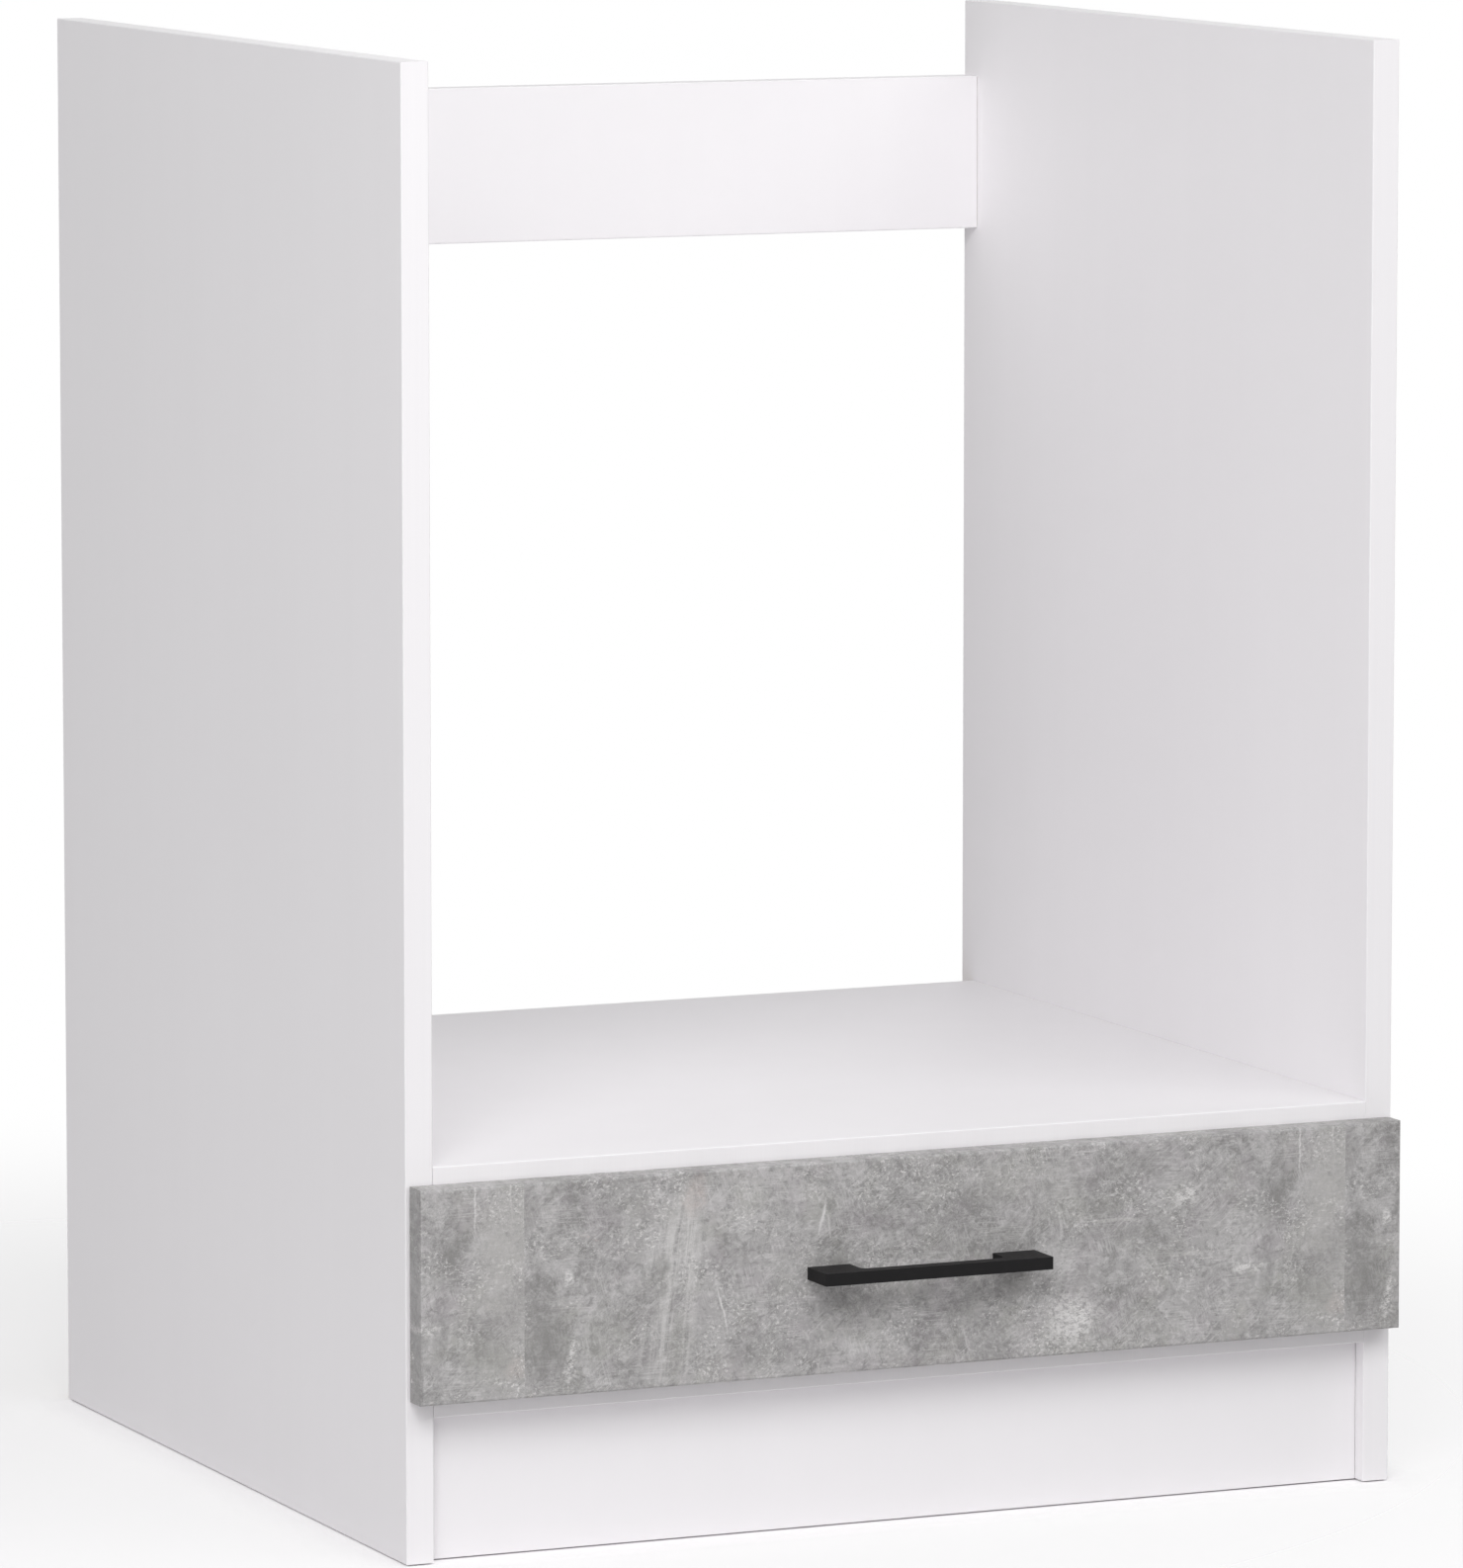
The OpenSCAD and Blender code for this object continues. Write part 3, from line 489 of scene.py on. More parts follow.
@dataclass(frozen=True)
class ConcreteDecor(Finish):
    """Matt decor paper of cast concrete under melamine, wrapped round the drawer front."""

    name: str = "concrete_decor"
    colour: str = "#AEACAC"
    roughness: float = 0.6
    specular: float = 0.35
    dark: str = "#898787"
    pale: str = "#D0CECE"
    repeat_mm: float = 500.2
    seam_mm: float = 262.7
    beyond_m: float = 10.0
    # Painted shade on the front's two end faces: how strong it is, and the sideways share of the normal where
    # it starts and where it is full
    end_painted_shade: float = 0.4
    end_turn: tuple[float, float] = (0.4, 0.95)
    sand_mm: float = 0.012
    matt: tuple[float, float] = (0.52, 0.66)
    # The marks that catch the eye, from broad mottles to strokes two millimetres wide. The four at the end
    # lie at the two seams and give them their steps in tone.
    marks: tuple[Mark, ...] = (
        Mark((222, 174), (9, 32), 4, Tone.DARK, 0.62),
        Mark((214, 132), (7, 26), 6, Tone.DUSK, 0.5),
        Mark((247, 176), (19, 44), 0, Tone.PALE, 0.7),
        Mark((240, 112), (24, 22), 0, Tone.MOSS, 0.5),
        Mark((244, 141), (11, 10), 0, Tone.PALE, 0.77),
        Mark((231, 142), (2.4, 24), 28, Tone.CHALK, 0.7, Grain.STREAK),
        Mark((234, 196), (1.0, 20), 0, Tone.FROST, 0.9, Grain.SHEER),
        Mark((255, 203), (0.9, 12), 0, Tone.LIME, 0.7, Grain.SHEER),
        Mark((258, 106), (10, 9), 0, Tone.ROSE, 0.63),
        Mark((203, 131), (15, 5), 0, Tone.WHITE, 0.95, Grain.CRUST),
        Mark((197, 107), (3.5, 16), 24, Tone.PALE, 0.7, Grain.STREAK),
        Mark((92, 111), (24, 22), 10, Tone.WHITE, 0.95, Grain.CRUST),
        Mark((134, 194), (26, 15), 0, Tone.DARK, 0.66),
        Mark((162, 173), (15, 13), 0, Tone.DARK, 0.5),
        Mark((130, 156), (18, 8), 0, Tone.DUSK, 0.45),
        Mark((104, 174), (8, 9), 0, Tone.DUSK, 0.5),
        Mark((162, 176), (15, 10), 0, Tone.WHITE, 0.84, Grain.CRUST),
        Mark((120, 164), (20, 1.6), 0, Tone.CHALK, 0.7, Grain.SHEER),
        Mark((163, 142), (18, 1.4), -3, Tone.CHALK, 0.7, Grain.SHEER),
        Mark((60, 190), (60, 16), 0, Tone.HAZE, 0.56),
        Mark((-147, 158), (24, 62), 14, Tone.LIME, 0.85, Grain.STREAK),
        Mark((-152, 112), (22, 34), 4, Tone.LIME, 0.75, Grain.STREAK),
        Mark((-157, 150), (5, 18), 12, Tone.DARK, 0.84, Grain.STREAK),
        Mark((-137, 196), (8, 16), 10, Tone.ROSE, 0.7),
        Mark((-222, 118), (17, 38), 0, Tone.DARK, 0.6),
        Mark((-211, 108), (5, 25), 14, Tone.WHITE, 0.95, Grain.CRUST),
        Mark((-211, 154), (4, 7), 0, Tone.WHITE, 0.95, Grain.CRUST),
        Mark((-187, 196), (20, 14), 0, Tone.DUSK, 0.5),
        Mark((-177, 192), (2.4, 4.5), 34, Tone.CHALK, 0.7),
        Mark((-186, 122), (24, 20), 0, Tone.MOSS, 0.55),
        Mark((-198, 177), (9, 2), 12, Tone.ROSE, 0.56, Grain.CRUST),
        Mark((-120, 131), (0.9, 19), -12, Tone.FROST, 0.9, Grain.SHEER),
        Mark((-60, 178), (1.3, 15), 14, Tone.FROST, 0.9, Grain.SHEER),
        Mark((-56, 172), (1.2, 12), -6, Tone.LIME, 0.7, Grain.SHEER),
        Mark((-95, 108), (30, 18), 0, Tone.DUSK, 0.5),
        Mark((-75, 150), (28, 20), 0, Tone.HAZE, 0.49),
        Mark((262.7, 176), (36, 46), 0, Tone.PALE, 0.6, Grain.SHEER),
        Mark((262.7, 118), (40, 44), 0, Tone.HAZE, 0.5, Grain.SHEER),
        Mark((-237.5, 122), (30, 46), 0, Tone.DARK, 0.42, Grain.SHEER),
        Mark((-237.5, 190), (20, 22), 0, Tone.DUSK, 0.45, Grain.SHEER),
    )

    def grains(self, coat: Coat) -> dict[Grain, Socket]:
        """Makes the textures that the marks are printed with.

        Args:
            coat: The decor under construction.

        Returns:
            A mask for each kind of grain.
        """
        return {
            Grain.SOFT: coat.cloud((11, 11, 12), 0.34, 0.58, detail=8, rough=0.84, bend=0.4),
            Grain.CRUST: coat.cloud((3.4, 3.4, 2.0), 0.46, 0.54, detail=5, rough=0.8, bend=0.6),
            Grain.STREAK: coat.cloud((4.2, 4.2, 70), 0.42, 0.56, detail=5, rough=0.62, bend=0.25,
                                     turn=(0, -7, 0)),
            Grain.SHEER: coat.cloud(4, 0.32, 0.5, detail=3),
        }

    def ends(self, coat: Coat) -> Socket:
        """Makes a mask of the front's two end faces, which look sideways and get a painted shade there.

        Args:
            coat: The decor under construction.

        Returns:
            The mask from zero to one.
        """
        normal = add_node(coat.tree, "ShaderNodeTexCoord").outputs["Normal"]
        aside = add_node(coat.tree, "ShaderNodeSeparateXYZ", {0: normal}).outputs["X"]
        size = add_node(coat.tree, "ShaderNodeMath", {0: aside}, operation="ABSOLUTE").outputs[0]
        return add_node(coat.tree, "ShaderNodeMapRange", {
            "Value": size, "From Min": self.end_turn[0], "From Max": self.end_turn[1]}).outputs["Result"]

    def dress(self, coat: Coat) -> None:
        """Lays the patterns.

        Args:
            coat: The material under construction.
        """
        # Cast concrete: clouds of every size down to the sand grain, fine trowel strokes, pale upright
        # veins and white grains, matt, and repeated every half metre, which shows as two steps in tone.
        self.wrap(coat)
        body, light = self.clouds(coat)
        self.strokes(coat)
        self.press(coat)
        # Painted shade: the two end faces, which look along X, are tinted towards the dark tone
        coat.tint(self.ends(coat), self.dark, self.end_painted_shade)
        sand = self.grit(coat, body)
        coat.relief(sand, self.sand_mm)
        coat.gloss(light, *self.matt)

    def wrap(self, coat: Coat) -> None:
        """Lets every pattern repeat with the print, which starts anew at the seam.

        Args:
            coat: The decor under construction.
        """
        lap, beyond = self.seam_mm * MM, self.beyond_m
        coat.place = add_node(coat.tree, "ShaderNodeVectorMath", {
            0: coat.place, 1: (lap, beyond, beyond), 2: (lap - self.repeat_mm * MM, -beyond, -beyond)},
            operation="WRAP").outputs[0]

    def clouds(self, coat: Coat) -> tuple[Socket, Socket]:
        """Lays the clouds, from a hand's width down to a few millimetres.

        Args:
            coat: The decor under construction.

        Returns:
            The masks of the large dark and the large pale clouds.
        """
        body = coat.cloud((60, 60, 66), 0.53, 0.37, detail=8, rough=0.9, bend=0.3)
        light = coat.cloud((50, 50, 60), 0.5, 0.66, detail=8, rough=0.9, bend=0.5, shift=(7, 3, 5))
        coat.tint(body, self.dark, 0.8)
        coat.tint(light, self.pale, 0.8)
        for shift, tone in ((3.0, "#A6A69E"), (8.0, "#ADA6AB")):
            coat.tint(coat.cloud(26, 0.5, 0.68, shift=(shift, 5, 8)), tone, 0.4)
        coat.tint(coat.cloud((6.5, 6.5, 5.5), 0.5, 0.62, rough=0.7, bend=0.8), "#868584", 0.62)
        coat.tint(coat.cloud((5.5, 5.5, 4.5), 0.52, 0.66, rough=0.7, bend=0.8, shift=(9, 4, 2)),
                  "#D1CFCF", 0.62)
        return body, light

    def strokes(self, coat: Coat) -> None:
        """Lays the trowel's fine pale strokes: level, slanting and upright, each in patches of its own.

        Args:
            coat: The decor under construction.
        """
        level = coat.cloud((13, 13, 0.9), 0.48, 0.64, rough=0.6, bend=0.3)
        slant = coat.cloud((9, 9, 0.9), 0.5, 0.66, rough=0.6, bend=0.4, turn=(0, 38, 0), shift=(4, 4, 4))
        upright = coat.cloud((0.9, 0.9, 8), 0.5, 0.66, rough=0.6, bend=0.4, turn=(0, 16, 0), shift=(2, 6, 1))
        for k, lines in enumerate((level, slant, upright)):
            where = coat.cloud((20, 20, 16), 0.48, 0.62, shift=(k * 5, 2, 7))
            coat.tint(coat.both(lines, where), "#D6D4D4", 0.55)

    def press(self, coat: Coat) -> None:
        """Prints the placed marks, the sheer ones last and with straighter outlines.

        Args:
            coat: The decor under construction.
        """
        grains, steady = self.grains(coat), coat.place
        for sheer, swirl_mm, reach_mm in ((False, 15, 9), (True, 9, 1.6)):
            coat.wander(swirl_mm, reach_mm)
            for mark in self.marks:
                if (mark.grain is Grain.SHEER) is sheer:
                    coat.tint(coat.both(coat.spot(mark.at, mark.size, mark.turn), grains[mark.grain]),
                              mark.tone.value, mark.strength)
            coat.place = steady

    def grit(self, coat: Coat, body: Socket) -> Socket:
        """Lays sand, pale crust, pores and specks.

        Args:
            coat: The decor under construction.
            body: The mask of the large dark clouds, where the sand shows most.

        Returns:
            The sand's mask.
        """
        sand = coat.cloud((0.9, 0.9, 0.8), detail=3, rough=0.8)
        coat.tint(coat.both(sand, body), "#73726F", 0.5)
        coat.tint(sand, "#7E7D7B", 0.2)
        pitted = coat.cloud((30, 30, 26), 0.47, 0.6, rough=0.6, shift=(6, 1, 9))
        crust = coat.cloud((2.4, 2.4, 1.9), 0.54, 0.61, rough=0.75, bend=0.5, shift=(5, 5, 5))
        coat.tint(coat.both(crust, pitted), "#DEDCDB", 0.75)
        pores = coat.cloud((2.0, 2.0, 1.7), 0.55, 0.66, detail=3, rough=0.7, bend=0.5, shift=(1, 8, 3))
        coat.tint(coat.both(pores, pitted), "#737270", 0.45)
        coat.tint(coat.both(coat.specks(3.4, 0.34, 0.45), pitted), "#ECEAE9", 0.9)
        coat.tint(coat.specks(7.0, 0.15, 0.6, shift=4.0), "#E8E6E5", 0.8)
        coat.tint(coat.specks(6.0, 0.12, 0.4, shift=8.0), "#5F5E5C", 0.5)
        return sand


def made(finish: Finish) -> Material:
    """Returns a field that holds a finish's material, built with the other fields."""
    return field(default_factory=finish.make)


@dataclass
class Finishes:
    """Every finish of the cabinet, made once."""

    # Melamine-coated chipboard, pressed on a pearl-structured plate. A satin white that is never quite
    # even: the paper under the resin leaves faint upright streaks, and the pearl breaks up reflections.
    melamine: Material = made(Finish("melamine_white", "#F7F5F7", 0.56, specular=0.22, layers=(
        Layer((30, 30, 700), high=0.75, detail=3, colour="#ECEAEC", strength=0.1),
        Layer((260, 260, 320), detail=2, colour="#ECEAEC", strength=0.12),
        Layer(1.1, detail=1, depth_mm=0.006, gloss=(0.52, 0.62)))))

    # Thin extruded ABS edge band, scraped and buffed. A shade whiter and glossier than the board, with
    # the long fine marks of the scraper.
    band: Material = made(Finish("edge_band_white", "#F8F6F8", 0.4, specular=0.35, layers=(
        Layer((0.7, 160, 160), 0.35, 0.65, detail=2, colour="#ECE9EC", strength=0.1, gloss=(0.37, 0.45)),
        Layer(1.3, detail=1, depth_mm=0.004))))

    core: Material = made(ChipboardCore())
    concrete: Material = made(ConcreteDecor())

    # Chipboard drawer profile wrapped in a smooth plastic foil. Smoother and a little glossier than the
    # melamine; the chips telegraph faintly through it.
    foil: Material = made(Finish("foil_white", "#EFEEEF", 0.3, layers=(
        Layer((3.5, 14, 3.5), detail=2, depth_mm=0.01),
        Layer((2, 140, 60), 0.55, 0.75, detail=3, colour="#E2E0E1", strength=0.14, gloss=(0.28, 0.36)))))

    # Roller lacquer on the fibreboard's upper face. It shows the roller's fine stipple and dulls where
    # things are pushed about.
    lacquer: Material = made(Finish("fibreboard_lacquer", "#EBEAEB", 0.4, layers=(
        Layer(1.4, detail=2, depth_mm=0.012),
        Layer((4, 120, 4), 0.58, 0.78, colour="#D4D2D3", strength=0.2, gloss=(0.36, 0.55)))))

    # Raw underside and edges of the fibreboard. An even brown felt of wood fibres, with the print of
    # the press screen.
    fibre: Material = made(Finish("fibreboard_raw", "#8C6A48", 0.8, specular=0.2, layers=(
        Layer(3, weave=Weave.SCREEN, depth_mm=0.04),
        Layer((0.5, 5, 0.5), detail=3, colour="#A5835E", strength=0.5, depth_mm=0.05),
        Layer(40, 0.4, 0.7, colour="#785839", strength=0.35))))

    # Matt powder coat on an aluminium bar. Near black, with the powder's fine crust, a shade paler
    # where it thins on the arrises.
    black: Material = made(Finish("powder_black", "#100F10", 0.52, specular=0.16, layers=(
        Layer(0.35, detail=2, colour="#1B1A1B", strength=0.5, depth_mm=0.02, gloss=(0.46, 0.6)),
        Layer(9, 0.5, 0.75, colour="#242223", strength=0.25),
        Layer(0.5, weave=Weave.ARRIS, colour="#2D2B2C", strength=0.4))))

    # Cream-white epoxy powder on rolled sheet steel. A glossy skin with a slight orange peel, thin and
    # greyish on the sheet's cut edges.
    epoxy: Material = made(Finish("epoxy_cream", "#E8E6DF", 0.3, specular=0.55, layers=(
        Layer(2.2, detail=1, depth_mm=0.02),
        Layer((3, 60, 3), 0.56, 0.74, detail=3, colour="#CFCCC3", strength=0.35, gloss=(0.26, 0.4)),
        Layer(0.3, weave=Weave.ARRIS, colour="#C9C8C2", strength=0.35))))

    # Moulded natural nylon. Milky and slightly translucent, duller in patches where the tread runs.
    nylon: Material = made(Finish("nylon_natural", "#EDEBE2", 0.42, inside=(
        ("Subsurface Weight", 0.15), ("Subsurface Scale", 0.002)), layers=(
        Layer(4, 0.35, 0.7, detail=3, colour="#DAD6C8", strength=0.3, gloss=(0.36, 0.5)),
        Layer(0.8, detail=1, depth_mm=0.01))))

    # Bright zinc-plated steel of screws, bolts and rivets. Cool metal with a bluish passivation,
    # faintly yellow in places, and turned marks.
    zinc: Material = made(Finish("zinc_plate", "#C2C5CA", 0.3, metallic=1.0, layers=(
        Layer(3, 0.35, 0.7, detail=3, colour="#AEB6C4", strength=0.6, gloss=(0.24, 0.4)),
        Layer(5, 0.55, 0.75, detail=2, shift=(4, 4, 4), colour="#CFC7AE", strength=0.35),
        Layer(0.4, detail=1, depth_mm=0.01))))

    # Die-cast zinc of the cam locks, tumbled and left bare. Dull grey with a cast skin, brighter on the
    # arrises.
    cast: Material = made(Finish("zinc_cast", "#A9ABAE", 0.45, metallic=1.0, layers=(
        Layer(1.2, colour="#8E9094", strength=0.5, depth_mm=0.03, gloss=(0.38, 0.56)),
        Layer(0.3, weave=Weave.ARRIS, colour="#C8CACD", strength=0.5))))

    # Turned and fluted beech. Pale pinkish wood with short darker flecks along the grain, which runs
    # along the dowel.
    beech: Material = made(Finish("beech_dowel", "#D6B384", 0.62, layers=(
        Layer((12, 1.2, 1.2), 0.35, 0.7, colour="#BE9765", strength=0.5),
        Layer((2.4, 0.35, 0.35), 0.56, 0.7, detail=2, colour="#9A7142", strength=0.6, depth_mm=-0.03))))

    # Injection-moulded white polypropylene of the corner blocks. Plain satin plastic with the fine spark
    # texture of its mould and a faint flow pattern.
    moulded: Material = made(Finish("moulded_white", "#E9E9E7", 0.45, layers=(
        Layer((12, 12, 6), 0.4, 0.7, detail=3, bend=0.8, colour="#DCDCD8", strength=0.35, gloss=(0.4, 0.52)),
        Layer(0.5, detail=1, depth_mm=0.02))))

    # Clear soft plastic of the stick-on bumpers. Milky domes that let the board behind show a little.
    clear: Material = made(Finish("soft_clear", "#E4E5E2", 0.2, inside=(
        ("Transmission Weight", 0.45), ("IOR", 1.49)), layers=(
        Layer(3, detail=3, colour="#D0D2CE", strength=0.4, gloss=(0.15, 0.3)),)))


# Pieces


def merged_copy(node: str) -> bmesh.types.BMesh:
    """Copies a CAD node's mesh with its doubles merged and its flat faces joined.

    Args:
        node: The CAD node's name.

    Returns:
        The copy as an editable mesh.
    """
    mesh = bmesh.new()
    mesh.from_mesh(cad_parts[node].data)
    bmesh.ops.remove_doubles(mesh, verts=mesh.verts, dist=DOUBLES_MM * MM)
    bmesh.ops.dissolve_limit(mesh, angle_limit=math.radians(FLAT_DEG), verts=mesh.verts, edges=mesh.edges)
    for face in mesh.faces:
        face.smooth = True
    return mesh


def soften(mesh: bmesh.types.BMesh, width: float, steps: int, least: float = 0.0) -> None:
    """Breaks the sharp arrises of a mesh.

    Args:
        mesh: The mesh.
        width: The width of the broken arris in millimetres.
        steps: Its number of facets.
        least: Edges shorter than this many millimetres stay sharp.
    """
    edges = [e for e in mesh.edges if len(e.link_faces) == 2
             and e.calc_face_angle(0) > math.radians(ARRIS_DEG) and e.calc_length() >= least * MM]
    bmesh.ops.bevel(mesh, geom=edges, offset=width * MM, segments=steps, profile=0.5, affect="EDGES",
                    clamp_overlap=True)


class Box:
    """A CAD node's box, which says how deep a point lies in it."""

    def __init__(self, node: str) -> None:
        """Takes the box of a CAD node."""
        self.low, self.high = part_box(node)

    def depth(self, point: Vector, axis: int) -> float:
        """Returns how far a point lies from the nearer side along an axis, in millimetres."""
        return min(abs(point[axis] - self.low[axis]), abs(point[axis] - self.high[axis])) / MM

    def hides(self, point: Vector) -> bool:
        """Says whether a point lies clear of all six sides, as a hole's wall does."""
        return all(self.depth(point, k) > CLEAR_MM for k in range(3))


class Solid:
    """One of a CAD node's separate solids."""

    def __init__(self, corners: list[Vector]) -> None:
        """Measures the solid.

        Args:
            corners: The places of its corners, in metres.
        """
        self.corners = corners
        self.low = Vector([min(c[k] for c in corners) for k in range(3)])
        self.high = Vector([max(c[k] for c in corners) for k in range(3)])
        self.size = self.high - self.low
        self.middle = (self.low + self.high) / 2
        self.axis = max(range(3), key=lambda k: self.size[k])


def solids(node: str) -> list[Solid]:
    """Splits a CAD node into its separate solids.

    Args:
        node: The CAD node's name.

    Returns:
        Its solids.
    """
    mesh = merged_copy(node)
    found, seen = [], set()
    for start in mesh.verts:
        if start in seen:
            continue
        corners, stack = [], [start]
        seen.add(start)
        while stack:
            vert = stack.pop()
            corners.append(vert.co.copy())
            for edge in vert.link_edges:
                other = edge.other_vert(vert)
                if other not in seen:
                    seen.add(other)
                    stack.append(other)
        found.append(Solid(corners))
    mesh.free()
    return found


@dataclass
class Part:
    """What stands for one CAD node: it rides on the node's body.

    Its piece bears the node's name with a word added that says what it is.
    """

    node: str
    body: str
    slot: str

    def finished(self, mesh: bmesh.types.BMesh, word: str, materials: list[Material]) -> Piece:
        """Turns an editable mesh into the finished piece.

        Args:
            mesh: The mesh, which is freed.
            word: The word that the piece's name adds to the node's.
            materials: Its materials, in the order of the faces' numbers.

        Returns:
            The piece.
        """
        data = bpy.data.meshes.new(self.node + word)
        mesh.to_mesh(data)
        mesh.free()
        for material in materials:
            data.materials.append(material)
        data.set_sharp_from_angle(angle=math.radians(SHARP_DEG))
        draft = put(self.node + "_draft", data)
        draft.modifiers.new("weigh", "WEIGHTED_NORMAL").keep_sharp = True
        return self.baked(draft, word)

    def baked(self, draft: Piece, word: str) -> Piece:
        """Makes a plain mesh of an object with modifiers and seats it in the node's place.

        Args:
            draft: The object with its modifiers, which is removed.
            word: The word that the piece's name adds to the node's.

        Returns:
            The piece.
        """
        bpy.context.view_layer.update()
        graph = bpy.context.evaluated_depsgraph_get()
        data = bpy.data.meshes.new_from_object(draft.evaluated_get(graph), depsgraph=graph)
        bpy.data.objects.remove(draft)
        data.name = self.node + word
        piece = put(self.node + word, data)
        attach(piece, self.body)
        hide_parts(self.node)
        LOG.info("%s: %d faces on %s", piece.name, len(data.polygons), self.body)
        return piece


@dataclass
class Copy(Part):
    """A piece whose form is the CAD solid's, with its arrises broken."""

    arris_mm: float = 0.0
    steps: int = 2
    least_mm: float = 0.0

    def build(self, finish: Material) -> Piece:
        """Builds the piece.

        Args:
            finish: Its finish.

        Returns:
            The piece.
        """
        mesh = merged_copy(self.node)
        if self.arris_mm:
            soften(mesh, self.arris_mm, self.steps, least=self.least_mm)
        return self.finished(mesh, "_part", [finish])


@dataclass
class Panel(Part):
    """A board or sheet with one finish on its covered faces and another on the bare ones."""

    word: str = "_board"
    arris_mm: float = 0.12
    steps: int = 1
    joint_mm: float = 0.0

    def covered(self, face: bmesh.types.BMFace, box: Box) -> bool:
        """Says whether a face is a covered one.

        Args:
            face: The face.
            box: The board's box.

        Returns:
            True where the cover lies over the core.
        """
        raise NotImplementedError

    def build(self, cover: Material, core: Material) -> Piece:
        """Builds the piece.

        Args:
            cover: The finish of its covered faces.
            core: The finish of its sawn edges and holes.

        Returns:
            The piece.
        """
        mesh = merged_copy(self.node)
        box = Box(self.node)
        for face in mesh.faces:
            face.material_index = 0 if self.covered(face, box) else 1
        # A hairline stays open between a board's end and the side, and shows as a thin dark line
        if self.joint_mm:
            for vert in mesh.verts:
                if box.depth(vert.co, 0) < TOUCH_MM:
                    outward = 1 if vert.co.x > (box.low.x + box.high.x) / 2 else -1
                    vert.co.x -= outward * self.joint_mm * MM
        soften(mesh, self.arris_mm, self.steps, least=LONG_MM)
        return self.finished(mesh, self.word, [cover, core])


@dataclass
class Board(Panel):
    """Coated chipboard, raw where it was sawn and drilled."""

    faces: Axis = Axis.Z
    sealed: tuple[Axis, ...] = ()

    def covered(self, face: bmesh.types.BMFace, box: Box) -> bool:
        """Says whether a face is one of the two coated ones, or a foot's edge sealed against damp.

        Args:
            face: The face.
            box: The board's box.

        Returns:
            True where the coat covers the core.
        """
        middle = face.calc_center_median()
        sides = (self.faces, *self.sealed) if middle.z < PLINTH_TOP_M else (self.faces,)
        return any(abs(face.normal[s.value]) > ALONG and box.depth(middle, s.value) < TOUCH_MM for s in sides)


@dataclass
class DecorFront(Panel):
    """A front with decor wrapped over its rounded arrises and its edges, raw in its holes."""

    rounding_mm: float = 1.9

    def covered(self, face: bmesh.types.BMFace, box: Box) -> bool:
        """Says whether the decor covers a face.

        Args:
            face: The face.
            box: The front's box.

        Returns:
            True on the outside, on the front arrises' rounding too.
        """
        middle = face.calc_center_median()
        rounding = middle.y < box.low.y + self.rounding_mm * MM and (
            min(box.depth(middle, 0), box.depth(middle, 2)) < self.rounding_mm)
        return rounding or not box.hides(middle)


@dataclass
class FoilBoard(Panel):
    """A drawer board wrapped in foil along its length, raw at both ends and in its holes."""

    length: Axis = Axis.Y
    rounding_mm: float = 2.1
    sawn_mm: float = 0.05

    def covered(self, face: bmesh.types.BMFace, box: Box) -> bool:
        """Says whether the foil covers a face.

        Args:
            face: The face.
            box: The board's box.

        Returns:
            True everywhere but at the sawn ends and in the holes.
        """
        middle = face.calc_center_median()
        hole = box.hides(middle) and middle.z < box.high.z - self.rounding_mm * MM
        return not hole and box.depth(middle, self.length.value) >= self.sawn_mm


@dataclass
class Sheet(Panel):
    """Thin fibreboard that is lacquered on its upper face alone."""

    def covered(self, face: bmesh.types.BMFace, box: Box) -> bool:
        """Returns whether a face is the sheet's upper one."""
        return face.normal.z > ALONG and face.calc_center_median().z > box.high.z - CLEAR_MM * MM


